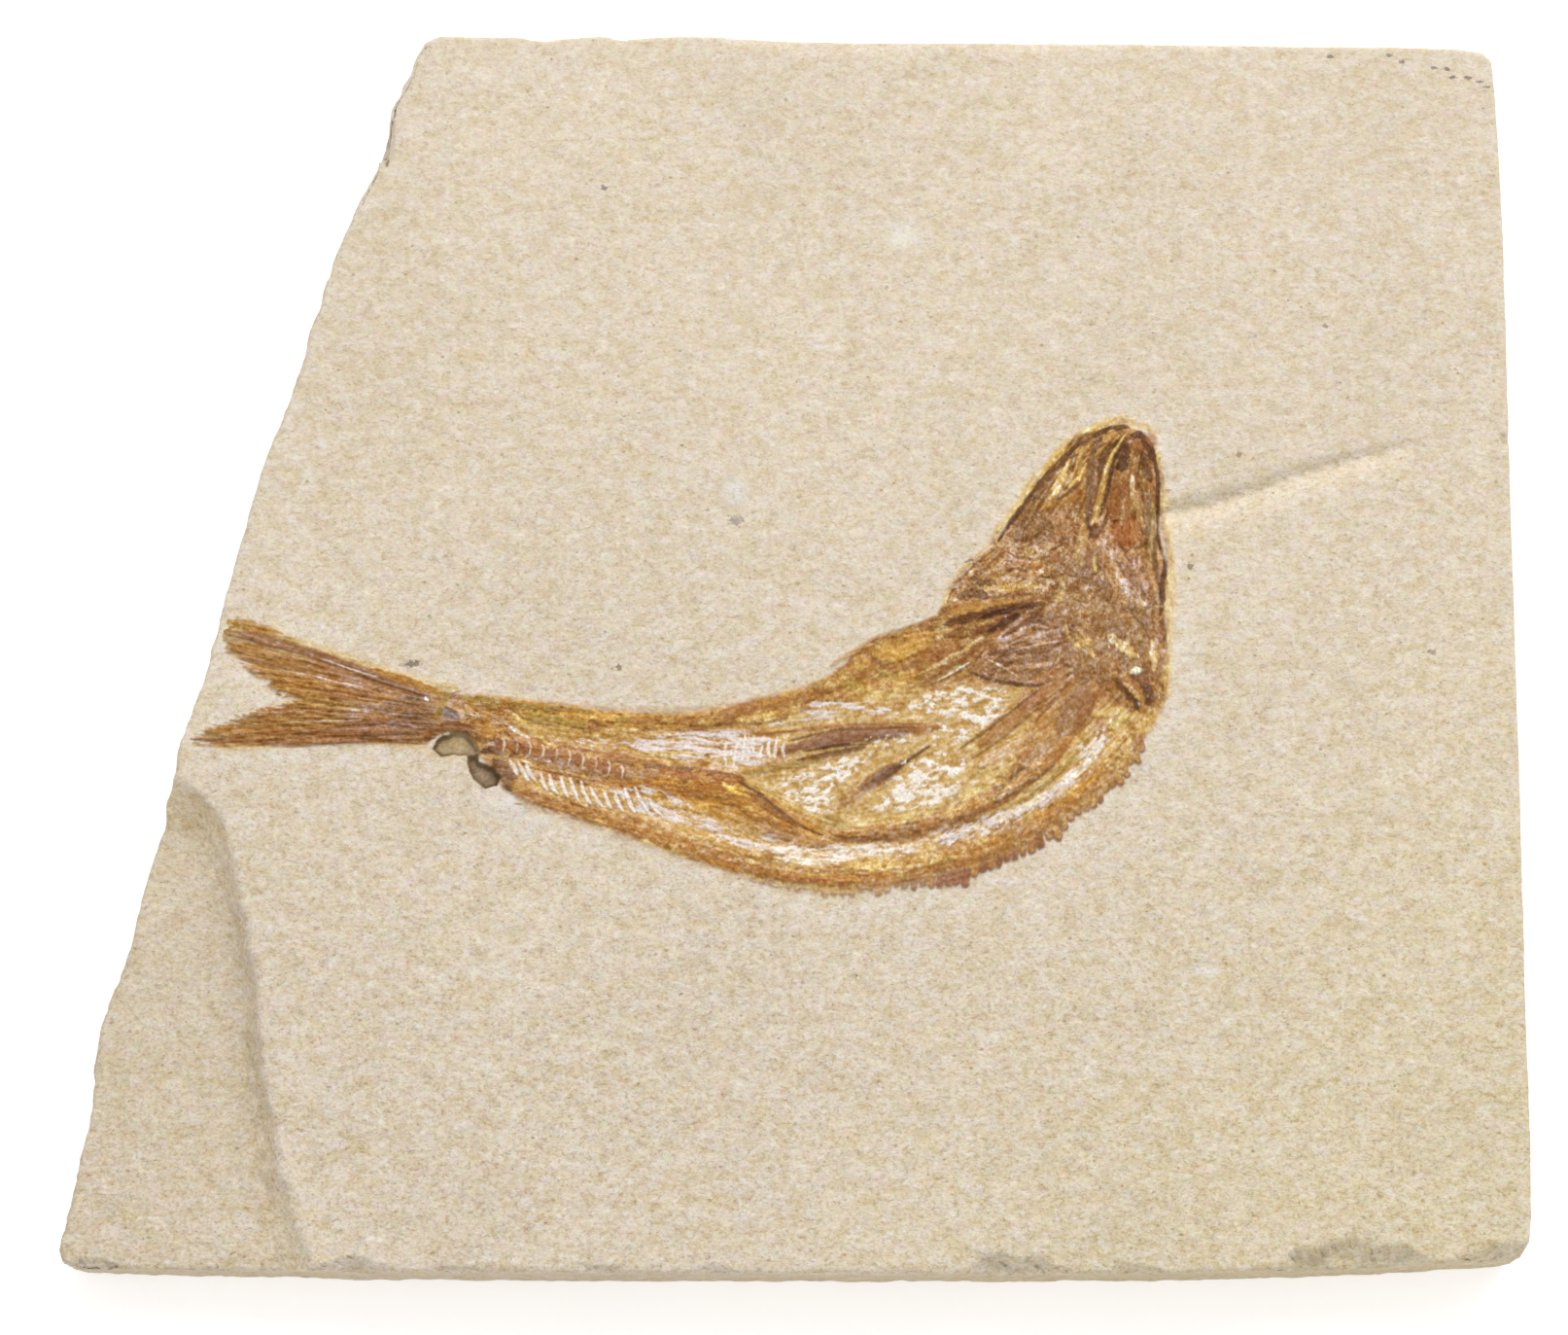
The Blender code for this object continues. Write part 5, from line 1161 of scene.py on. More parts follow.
# along the backbone
vertebrae = {"count": 10, "first": (-20.6, -7.0), "toLast": (8.2, -1.9), "bow": 0.25}
for i in range(vertebrae["count"]):
    share = i / (vertebrae["count"] - 1)
    x, y = [start + reach * share for start, reach in zip(vertebrae["first"], vertebrae["toLast"])]
    y = y + vertebrae["bow"] * math.sin(math.pi * share)
    ring = ((x + 0.28, y + 0.5), (x + 0.42, y + 0.1), (x + 0.30, y - 0.45))
    core = ((x, y + 0.4), (x + 0.05, y - 0.35))
    stroke(("redBrown", "chestnut")[i % 2], 0.75, 0.05, 0.36, core, 0.5, 0.4)
    stroke(("pearl", "paleRose", "pearl")[i % 3], 0.9, 0.07, 0.075, ring, 0.5, 0.3)
    stroke("brown", 0.5, -0.03, 0.06, [(px + 0.15, py - 0.02) for px, py in ring], 0.6, 0.4)
print("fish painted")

# relief of the bone in millimetres: height of a ridge (or depth of a hollow), half width, points
ridges = (
    (0.34, 0.8, 22.6, 15.3, 20.2, 14.4, 18.4, 13, 16.9, 11.2, 15.6, 9.2),
    (0.26, 0.5, 22.4, 14.6, 20.9, 12.6, 20.1, 9.8, 20, 7.5),
    (-0.26, 0.45, 22.7, 14.5, 21.7, 11.9, 20.7, 9.2),
    (0.38, 0.7, 23.6, 14.6, 24.5, 12.4, 24.7, 9.5, 24.6, 6.5, 24.8, 3),
    (-0.22, 1.2, 22.9, 10.2, 22.9, 7.2),
    (0.34, 1.9, 19.6, 5.6, 20.8, 2.4, 20.4, -0.6),
    (0.3, 1.3, 13.6, 5.6, 15.8, 5.2, 17.4, 2.4),
    (0.3, 1, 11.2, 2.6, 13.6, 1.9, 16, 2.6),
    (0.26, 1.2, 13.4, -1.4, 16.4, -0.6, 18.6, 0.2),
    (0.26, 0.8, 22.6, -2.8, 24.2, -3.6, 24.9, -4.2),
    (0.24, 0.9, 8.4, 0.4, 4.2, -1.8, 0, -4.2, -5, -5.4, -11, -5.8, -16, -5.1, -21, -4.3),
    (0.3, 0.7, -3.6, -9.3, -8, -9.2, -12, -8.9, -15.5, -8.1, -18.5, -7.3, -21.6, -6, -24.4, -4.8),
    (0.28, 0.9, 20.4, -4.6, 17, -8, 13, -10.6, 9, -12, 4, -12.9, 0.8, -12.8, -2.4, -11.6, -6.2, -9.9),
    (-0.18, 1.8, 12, -4.6, 8, -7.6, 3, -9.2, -0.5, -9.6),
    (-0.14, 0.6, 20.8, -7.4, 17, -10.6, 12.4, -12.9, 6.4, -14.2, 0.4, -14.6, -5.4, -13.2, -11, -11.4),
    (0.28, 0.9, 23.6, -5.6, 21.2, -8.6, 17.8, -11.5, 13.6, -13.8, 9, -15, 4, -15.8, 0, -15.6, -5, -14.4,
     -10, -13, -15, -11.3, -19, -10),
    (0.2, 0.5, -0.6, -7.2, 3, -6.3, 8.4, -5.7),
    (0.2, 0.5, 3.4, -10.6, 6.2, -8.8, 9, -7),
    (0.24, 1, -24.4, -4.7, -28, -4.2),
)
bone = {"rim": 0.07, "crown": 0.16, "ridges": 0.55, "grain": 0.05, "highest": 9.94}
# each pit's dark point is where the painted shade on its wall is deepest
pits = {
    "upper": {"depth": 0.55, "paint": "pitTan", "dark": (-25.1, -7.1), "outline": pairs(
        -25.2, -7.2, -25, -6.6, -24.5, -6.2, -23.6, -6, -22.8, -6.1, -22.3, -6.7, -22, -7.4, -22.2, -8,
        -23, -7.7, -23.8, -7.7, -24.6, -7.8)},
    "lower": {"depth": 0.75, "paint": "pitBrown", "dark": (-20.6, -9.1), "outline": pairs(
        -22.9, -7.6, -22, -7.5, -21.9, -8.1, -21, -8.5, -20.4, -9.2, -20.7, -9.8, -21.5, -10, -22.1,
        -9.6, -22.7, -8.8)},
}


def boneRelief():
    rise = bone["rim"] + bone["crown"] * (1 - np.exp(-np.clip(edgeDepth, 0, None) / 1.3))
    rise = rise * (1 - 0.6 * np.clip((-26.0 - gridX) / 8.0, 0, 1))
    for height, half, *numbers in ridges:
        line = pairs(*numbers)
        points = curveThrough(line, 4) if len(line) > 2 else np.array(line)
        place = window(points, half * 1.7)
        d, _, _ = nearestOn(gridX[place], gridY[place], points)
        rise[place] += bone["ridges"] * height * np.exp(-(d / half) ** 2 * 1.4)
    rise = rise + bone["grain"] * noise(gridX * 3.1, gridY * 3.1, 81, 3, 0.6)
    return np.clip(rise + art["lift"], 0.02, 1.1) * np.clip(art["alpha"], 0, 1) ** 0.7


boneRise = boneRelief()
for pit in pits.values():
    place = window(pit["outline"], 0.5)
    x, y = gridX[place], gridY[place]
    depth = depthInside(x, y, pit["outline"]) + 0.07 * noise(x * 2.2, y * 2.2, 83, 3)
    deepest = pit["depth"] * (0.85 + 0.12 * noise(x * 1.2, y * 1.2, 84, 2))
    boneRise[place] = (boneRise[place] * (1 - smooth(-0.1, 0.05, depth))
                       - smooth(-0.02, 0.32, depth) * deepest)
    bare = smooth(-0.05, 0.08, depth)
    lay(place, bare, pit["paint"], 1.0, gloss=0.15, grow=True)
    lay(place, bare * smooth(0.3, -0.3, noise(x * 1.1, y * 1.1, 85, 3)), "pitDark", 0.25)
    # painted shade: the pit's wall darkened all round, most towards its dark point
    rim = smooth(0.35, 0.0, np.abs(depth - 0.12))
    near = np.exp(-((x - pit["dark"][0]) ** 2 + (y - pit["dark"][1]) ** 2) / 1.2)
    lay(place, rim * np.clip(0.55 + near, 0, 1), "pitDark", 0.85)
print("relief ready")


# tones that the stone carries besides its grain, with painted light and shade on the ledge and in the furrow
stoneTone = {
    "scraped": (1.035, 1.045, 1.075),     # cleaned margin round the fish
    "ledgeFloor": (0.965, 0.955, 0.93),
    "ledgeBand": (1.03, 1.03, 1.03),     # the steep part, scraped grey
    # painted light: the ledge's steep wall lightened against its own shade
    "ledgeWallLightened": (1.08, 1.05, 0.99),
    # painted shade on the shell-shaped break at the ledge's upper end
    "ledgeFanShade": (0.94, 0.915, 0.85),       # shell-shaped break at the ledge's upper end
    # pale rim: partly wear, partly a painted highlight along the ledge's edge
    "ledgeRimWornAndLit": (1.05, 1.055, 1.075),
    "cut": (0.88, 0.85, 0.79),
    "broken": (0.80, 0.77, 0.72),         # natural break
    # painted shade on the furrow's back wall; its front slope is paler scraped stone, lightened further as
    # painted light
    "furrowBackShade": (0.86, 0.84, 0.78),
    "furrowFrontPaleAndLit": (1.10, 1.09, 1.06),
}


def nearFish(x, y):
    return (x > -44) & (x < 30) & (y > -22) & (y < 20)


def stoneTint(x, y):
    tint = np.ones(x.shape + (3,))

    def blend(name, share):
        tint[...] = tint * (1 + (np.array(stoneTone[name]) - 1) * np.clip(share, 0, 1)[..., None])

    near = nearFish(x, y)
    gap = np.full(x.shape, 9.0)
    gap[near] = -depthInside(x[near], y[near], fishEdge[::6])
    broad = 2.4 + 0.9 * noise(x * 0.3, y * 0.3, 91, 2) + 1.2 * smooth(0, 12, x - y)
    blend("scraped", smooth(1.1, 0.2, gap / broad))
    way = ledgeShare(x, y)
    blend("ledgeFloor", way)
    lower = smooth(-13.0, -14.6, y + 0.5 * noise(x * 0.7, y * 0.7, 92, 3))
    blend("ledgeBand", smooth(0.0, 0.05, way) * smooth(0.30, 0.20, way) * lower)
    # painted light on the steep wall of the ledge
    blend("ledgeWallLightened", smooth(0.02, 0.08 + 0.24 * lower, way) * smooth(1.0, 0.30, way))
    # painted shade on the break at the upper end of the ledge
    blend("ledgeFanShade", smooth(0.0, 0.06, way) * (1 - lower))
    # pale rim along the ledge: partly wear, partly a painted highlight
    toRim = x - ledgeLine("rim", y)
    worn = 0.6 + 0.4 * noise(x, y, 93, 2)
    blend("ledgeRimWornAndLit", (way <= 0) * smooth(0.75, 0.1, toRim) * (y < -7.5) * worn)
    shut = furrowDepth(x, y)
    d, side, _ = nearestOn(x, y, furrow)
    # painted shade on the furrow's back wall
    blend("furrowBackShade", shut * (side > 0))
    # front slope of the furrow: paler stone and painted light
    slope = 0.6 * smooth(1.2, 0.0, d / 2.6) * (x > 25.5) * (x < 43)
    blend("furrowFrontPaleAndLit", (shut + slope) * (side < 0))
    return tint


def makeMesh(name, points, faces, layers, material, normals=None):
    mesh = bpy.data.meshes.new(name)
    mesh.from_pydata(points, [], faces)
    mesh.update()
    for layer, values in layers.items():
        if values.ndim == 1:
            data = mesh.attributes.new(layer, "FLOAT", "POINT").data
            data.foreach_set("value", values.astype(np.float32))
        else:
            data = mesh.attributes.new(layer, "FLOAT_COLOR", "POINT").data
            full = np.concatenate((values, np.ones((len(values), 1))), 1)
            data.foreach_set("color", full.astype(np.float32).ravel())
    mesh.shade_smooth()
    if normals is not None:
        mesh.normals_split_custom_set_from_vertices(normals)
    mesh.materials.append(material)
    piece = bpy.data.objects.new(name, mesh)
    bpy.context.scene.collection.objects.link(piece)
    print(name, "triangles:", sum(len(p.vertices) - 2 for p in mesh.polygons))
    return piece


def quads(*numbers):
    # faces from the numbers of their four corners
    return np.stack(numbers, -1).reshape(-1, 4).tolist()


def columnPlaces(y):
    # where the columns stand across the face, 0 to 1 from its left edge: one follows the ledge's rim
    even = np.linspace(0, 1, slab["columns"] + 1)
    split = slab["ledgeColumns"] / slab["columns"]
    left = np.interp(y, (-42.0, -13.0, 42.0), (-50.4, -44.0, -26.5))
    right = 49.5
    rim = max((ledgeLine("rim", np.array([y]))[0] - left) / (right - left), 0.035)
    rim = rim + (split - rim) * float(smooth(-11.0, 8.0, y))
    return np.where(even < split, even / split * rim, rim + (even - split) / (1 - split) * (1 - rim))


def outlineSides():
    # the outline between its corners: back, right, front, left, each from its corner clockwise
    ring = np.array(slabOutline)
    fine = []
    for a, b in zip(ring, np.roll(ring, -1, axis=0)):
        steps = max(int(np.hypot(*(b - a)) / 0.15), 1)
        fine.extend(a + (b - a) * t for t in np.arange(steps) / steps)
    fine = np.array(fine)
    order = ("backLeft", "backRight", "frontRight", "frontLeft")
    at = [int(np.argmin(np.hypot(*(fine - np.array(corners[name])).T))) for name in order]
    even = [np.linspace(0, 1, slab[name] + 1) for name in ("columns", "rows")]
    spacing = (even[0], even[1], 1 - columnPlaces(-43.0)[::-1], even[1])
    sides = []
    for a, b, want in zip(at, at[1:] + at[:1], spacing):
        path = fine[a:b + 1] if b > a else np.vstack((fine[a:], fine[:b + 1]))
        place = lengths(path) / lengths(path)[-1]
        sides.append(np.stack([np.interp(want, place, path[:, k]) for k in (0, 1)], 1))
    return sides


slabSide = {
    "rim": ((0.16, 0.045), (0.06, 0.13), (0.0, 0.26)),     # inset and drop below the face
    "levels": (0.93, 0.86, 0.79, 0.72, 0.65, 0.58, 0.51, 0.44, 0.37, 0.30, 0.23, 0.16, 0.09, 0.04, 0.0),
    "cutWander": 0.10, "breakWander": 0.55,     # of the sawn sides and of the broken left side
}


def makeSlab(material):
    back, right, front, left = outlineSides()
    nu, nv = slab["columns"], slab["rows"]
    loop = np.vstack((back[:-1], right[:-1], front[:-1], left[:-1]))
    ahead, behind = np.roll(loop, -1, axis=0), np.roll(loop, 1, axis=0)
    run = ahead - behind
    inward = np.stack((run[:, 1], -run[:, 0]), 1) / np.hypot(*run.T)[:, None]
    for _ in range(3):
        inward = (np.roll(inward, 1, axis=0) + inward + np.roll(inward, -1, axis=0)) / 3
    place = lengths(np.vstack((loop, loop[:1])))[:-1]
    broken = np.zeros(len(loop))
    broken[2 * nu + nv:] = 1.0
    for _ in range(8):
        broken = (np.roll(broken, 1) + broken + np.roll(broken, -1)) / 3

    def ringAt(inset, z, wander):
        # layers of the break step in and out with height
        natural = noise(place * 0.55, z * 1.9, 101, 4, 0.62)
        natural = natural + 0.5 * noise(place * 0.16, z * 0.9, 102, 2)
        sawn = noise(place * 0.8, z * 0.5, 103, 3, 0.6)
        push = broken * slabSide["breakWander"] * wander * (natural - 0.45)
        push = push + (1 - broken) * slabSide["cutWander"] * wander * (sawn - 0.3)
        push = np.minimum(push, inset + 0.02)
        return loop + inward * (inset - push)[:, None]

    topRing = ringAt(slab["rimInset"], slab["thickness"], 0.25)
    s0, s1, s2 = nu, nu + nv, 2 * nu + nv
    last = np.vstack((topRing[s2:], topRing[:1]))
    edges = (topRing[:s0 + 1], topRing[s0:s1 + 1], topRing[s1:s2 + 1], last)
    v = np.linspace(0, 1, nv + 1)[None, :, None]
    u = np.linspace(0, 1, nu + 1)[:, None, None] * (1 - v) + columnPlaces(-43.0)[:, None, None] * v
    top, bottom = edges[0][:, None, :], edges[2][::-1][:, None, :]
    rightEdge, leftEdge = edges[1][None, :, :], edges[3][::-1][None, :, :]
    c00, c10, c11, c01 = edges[0][0], edges[0][-1], edges[1][-1], edges[2][-1]
    grid = ((1 - v) * top + v * bottom + (1 - u) * leftEdge + u * rightEdge
            - ((1 - u) * (1 - v) * c00 + u * (1 - v) * c10 + u * v * c11 + (1 - u) * v * c01))
    for j in range(1, nv):
        want = columnPlaces(float(grid[:90, j, 1].mean()))
        grid[:, j] = np.stack([np.interp(want, u[:, j, 0], grid[:, j, k]) for k in (0, 1)], 1)
    x, y = grid[..., 0], grid[..., 1]
    z = faceHeight(x, y) - slab["under"]
    sunk = np.zeros(x.shape)
    near = nearFish(x, y)
    sunk[near] = smooth(0.95, 1.35, depthInside(x[near], y[near], patchBorder))
    z = z - patch["hollow"] * sunk
    points = [toWorld(x, y, z).reshape(-1, 3)]
    tint = [stoneTint(x, y).reshape(-1, 3)]
    index = np.arange((nu + 1) * (nv + 1)).reshape(nu + 1, nv + 1)
    faces = quads(index[:-1, :-1], index[:-1, 1:], index[1:, 1:], index[1:, :-1])
    ring = np.concatenate((index[:-1, 0], index[-1, :-1], index[:0:-1, -1], index[0, :0:-1]))
    rimZ = faceHeight(*(loop + inward * slab["rimInset"]).T) - slab["under"]
    rings = []
    for inset, drop in slabSide["rim"]:
        p = ringAt(inset, slab["thickness"] - drop, 0.35)
        h = np.minimum(faceHeight(*p.T) - slab["under"], rimZ) - drop
        rings.append((p, h, drop * 1.4))
    lastZ = rings[-1][1]
    for level in slabSide["levels"]:
        foot = smooth(0.16, 0.0, level) * 0.4
        h = lastZ * level
        wander = 0.35 + 0.65 * smooth(1.0, 0.75, level) * smooth(-0.1, 0.15, level)
        rings.append((ringAt(foot, h, wander), h, 1.0))
    for p, h, depth in rings:
        new = sum(len(block) for block in points) + np.arange(len(loop))
        points.append(toWorld(*p.T, h))
        shade = stoneTint(*p.T) if depth < 0.5 else np.ones((len(loop), 3))
        natural, sawn = np.array(stoneTone["broken"]) - 1, np.array(stoneTone["cut"]) - 1
        sideTone = 1 + (natural * broken[:, None] + sawn * (1 - broken[:, None])) * min(depth, 1.0)
        tint.append(shade * sideTone)
        faces += quads(ring, np.roll(ring, -1), np.roll(new, -1), new)
        ring = new
    centre = sum(len(block) for block in points)
    points.append(np.array(((0.0, 0.0, 0.0),)))
    tint.append(np.ones((1, 3)))
    faces += [(int(a), int(b), centre) for a, b in zip(ring, np.roll(ring, -1))]
    return makeMesh("slabStone", np.vstack(points), faces, {"tint": np.vstack(tint)}, material)


# where each part starts and ends, as shares of the patch's length from the snout
patchParts = {"fossilTail": (0.66, 1.0), "fossilTrunk": (0.30, 0.66), "fossilHead": (0.0, 0.30)}


def makePatchPart(name, start, end, material):
    # one row more at each end, so that neighbouring parts agree on the slope where they meet
    step = (end - start) / (patch["rows"] - 1)
    rows, place = patchRowsAt(start - step, end + step, patch["rows"] + 2)
    share = np.linspace(0.0, 1.0, patch["columns"])[None, :]
    x = rows[:, 0:1] + (rows[:, 2:3] - rows[:, 0:1]) * share
    y = rows[:, 1:2] + (rows[:, 3:4] - rows[:, 1:2]) * share
    surface = np.stack((x, y, faceHeight(x, y) + fromSheet(boneRise, x, y)), -1)
    normals = np.cross(np.gradient(surface, axis=1), np.gradient(surface, axis=0))
    normals[normals[..., 2] < 0] *= -1
    normals = (normals / (np.linalg.norm(normals, axis=-1, keepdims=True) + 1e-12))[1:-1]
    x, y, rows, place = x[1:-1], y[1:-1], rows[1:-1], place[1:-1]
    width = np.hypot(rows[:, 2] - rows[:, 0], rows[:, 3] - rows[:, 1])[:, None]
    toBorder = np.minimum(np.minimum(share, 1 - share) * width,
                          np.minimum(place, patchPlace[-1] - place)[:, None])
    rise = fromSheet(boneRise, x, y)
    z = faceHeight(x, y) + patch["proud"] + rise - patch["tuck"] * smooth(0.7, 0.0, toBorder)
    z = np.minimum(z, bone["highest"])
    m, n = x.shape
    index = np.arange(m * n).reshape(m, n)
    faces = quads(index[:-1, :-1], index[1:, :-1], index[1:, 1:], index[:-1, 1:])
    low = np.full(m, patch["foot"])
    backFoot, bellyFoot = m * n + np.arange(m), m * n + m + np.arange(m)
    points = np.vstack((toWorld(x, y, z).reshape(-1, 3), toWorld(x[:, 0], y[:, 0], low),
                        toWorld(x[:, -1], y[:, -1], low)))
    faces += quads(index[:-1, 0], backFoot[:-1], backFoot[1:], index[1:, 0])
    faces += quads(index[:-1, -1], index[1:, -1], bellyFoot[1:], bellyFoot[:-1])
    faces += quads(backFoot[:-1], bellyFoot[:-1], bellyFoot[1:], backFoot[1:])
    faces.append(index[0].tolist() + [int(bellyFoot[0]), int(backFoot[0])])
    faces.append(index[-1, ::-1].tolist() + [int(backFoot[-1]), int(bellyFoot[-1])])
    feet = np.zeros(2 * m)
    layers = {"tint": np.vstack((stoneTint(x, y).reshape(-1, 3), np.ones((2 * m, 3)))),
              "paint": np.vstack((fromSheet(art["colour"], x, y).reshape(-1, 3), np.ones((2 * m, 3)) * 0.3))}
    grids = {"cover": np.clip(fromSheet(art["alpha"], x, y), 0, 1),
             "gloss": np.clip(fromSheet(art["gloss"], x, y), 0, 1), "broken": fromSheet(broken, x, y),
             "alongFish": np.repeat(place, n), "acrossFish": share * width}
    for layer, values in grids.items():
        layers[layer] = np.concatenate((values.ravel(), feet))
    down = np.tile((0.0, 0.0, -1.0), (2 * m, 1))
    return makeMesh(name, points, faces, layers, material, np.vstack((normals.reshape(-1, 3), down)))


class Wire:
    # a socket that can stand in an expression

    def __init__(self, net, socket):
        self.net, self.socket = net, socket

    def __add__(self, other):
        return self.net.maths("ADD", self, other)

    def __radd__(self, other):
        return self.net.maths("ADD", other, self)

    def __sub__(self, other):
        return self.net.maths("SUBTRACT", self, other)

    def __rsub__(self, other):
        return self.net.maths("SUBTRACT", other, self)

    def __mul__(self, other):
        return self.net.maths("MULTIPLY", self, other)

    def __rmul__(self, other):
        return self.net.maths("MULTIPLY", other, self)


class Net:
    # the node tree of one material

    def __init__(self, name):
        self.material = bpy.data.materials.new(name)
        self.material.use_nodes = True
        self.tree = self.material.node_tree
        self.tree.nodes.clear()

    def add(self, kind, settings, values, output=0):
        # a node of any type: its settings, then the values or links of its sockets
        node = self.tree.nodes.new(kind)
        for key, value in settings.items():
            setattr(node, key, value)
        for key, value in values.items():
            if isinstance(value, Wire):
                self.tree.links.new(value.socket, node.inputs[key])
            else:
                node.inputs[key].default_value = value
        return Wire(self, node.outputs[output]) if node.outputs else None

    def maths(self, operation, a, b=0.0):
        return self.add("ShaderNodeMath", {"operation": operation}, {0: a, 1: b})

    def ramp(self, value, low, high):
        # 0 below low, 1 above high, eased between them
        return self.add("ShaderNodeMapRange", {"interpolation_type": "SMOOTHSTEP"},
                        {"Value": value, "From Min": low, "From Max": high})

    def mix(self, a, b, factor, blend="MIX"):
        settings = {"data_type": "RGBA", "blend_type": blend}
        return self.add("ShaderNodeMix", settings, {0: factor, 6: a, 7: b}, 2)

    def layer(self, name, output="Fac"):
        return self.add("ShaderNodeAttribute", {"attribute_name": name}, {}, output)

    def noise(self, vector, scale, detail=2.0, roughness=0.5, distortion=0.0):
        return self.add("ShaderNodeTexNoise", {}, {"Vector": vector, "Scale": scale, "Detail": detail,
                                                   "Roughness": roughness, "Distortion": distortion})

    def stretch(self, vector, x, y, z):
        return self.add("ShaderNodeVectorMath", {"operation": "MULTIPLY"}, {0: vector, 1: (x, y, z)})

    def rgb(self, red, green, blue):
        return self.add("ShaderNodeCombineColor", {}, {0: red, 1: green, 2: blue})

    def parts(self, kind, value):
        # all outputs of a node that takes a colour or a vector apart
        node = self.add(kind, {}, {0: value}).socket.node
        return [Wire(self, socket) for socket in node.outputs]


def colour(*rgb):
    return tuple(linear(rgb)) + (1.0,)


limestone = {
    "base": (225, 211, 189),
    "squeeze": 0.74,         # grain drawn out across the slab
    "noises": {              # scale, detail, roughness, distortion
        "broad": (0.5, 3.0, 0.6, 0.4), "patchy": (1.1, 4.0, 0.66, 0.3), "middle": (2.4, 4.0, 0.65, 0.7),
        "fine": (4.3, 3.0, 0.7, 0.5), "sandy": (9.0, 2.0, 0.6), "curly": (1.5, 3.0, 0.6, 1.0)},
    "casts": (               # paint, share, the noise it follows, where it begins, where it is full
        ((212, 189, 140), 0.22, "patchy", 0.58, 0.36), ((188, 180, 152), 0.25, "middle", 0.46, 0.28),
        ((228, 208, 192), 0.35, "rosy", 0.5, 0.68), ((240, 234, 222), 0.25, "middle", 0.54, 0.70)),
    "speck": (158, 132, 98), "specks": 0.6, "curls": 0.55,
    "scuff": (242, 236, 228), "scuffs": 0.5,
    "fine": (0.76, 0.52), "coarse": (1.0, 0.25),     # grain at the back, what the front adds
    "follow": (              # how far red, green and blue follow the fine, middle and coarse grain
        (0.83, 0.72, 0.64), (1.02, 0.94, 0.90), (1.22, 1.46, 1.62)),
    "frontShade": 0.035,
    "cornerOchre": 0.09,
    "roughness": (0.86, 0.96),
    "grainHeight": 0.08,     # millimetres
    "marks": (               # where, half length, half width, colour, strength
        (-26.6, -1.2, 0.6, 0.22, (120, 112, 100), 0.8), (-12.3, -1.5, 0.22, 0.22, (110, 98, 80), 0.7),
        (-13.5, 32.7, 0.25, 0.2, (120, 108, 90), 0.7), (27.3, 5.6, 0.2, 0.2, (120, 100, 70), 0.7),
        (30.8, 13.6, 0.2, 0.2, (130, 110, 84), 0.6), (44.0, -0.4, 0.3, 0.2, (130, 112, 90), 0.6),
        (36.9, 22.8, 0.2, 0.2, (130, 112, 90), 0.6), (7.5, 29.4, 1.1, 1.3, (238, 234, 226), 0.6),
        (-4.4, 11.0, 0.9, 1.2, (226, 222, 212), 0.7), (-4.2, 8.9, 0.5, 0.4, (150, 142, 130), 0.6),
        (28.0, -22.6, 0.9, 0.5, (240, 235, 228), 0.6), (36.0, -24.2, 0.7, 0.4, (240, 235, 228), 0.5),
        (-20.0, -11.2, 1.6, 0.9, (232, 226, 216), 0.6), (-17.5, -12.6, 1.2, 0.8, (230, 222, 208), 0.5)),
    "mineral": (0.24, 0.13, (108, 102, 96), 0.7),
    "minerals": pairs(       # dark specks by the far right corner
        37.6, 42.2, 44.9, 41.4, 45.8, 41.3, 46.2, 40.7, 42.6, 41.8, 47.3, 40.7, 41.8, 42.3, 48.1, 40.4,
        48.6, 40.0),
    "specular": 0.25,
}


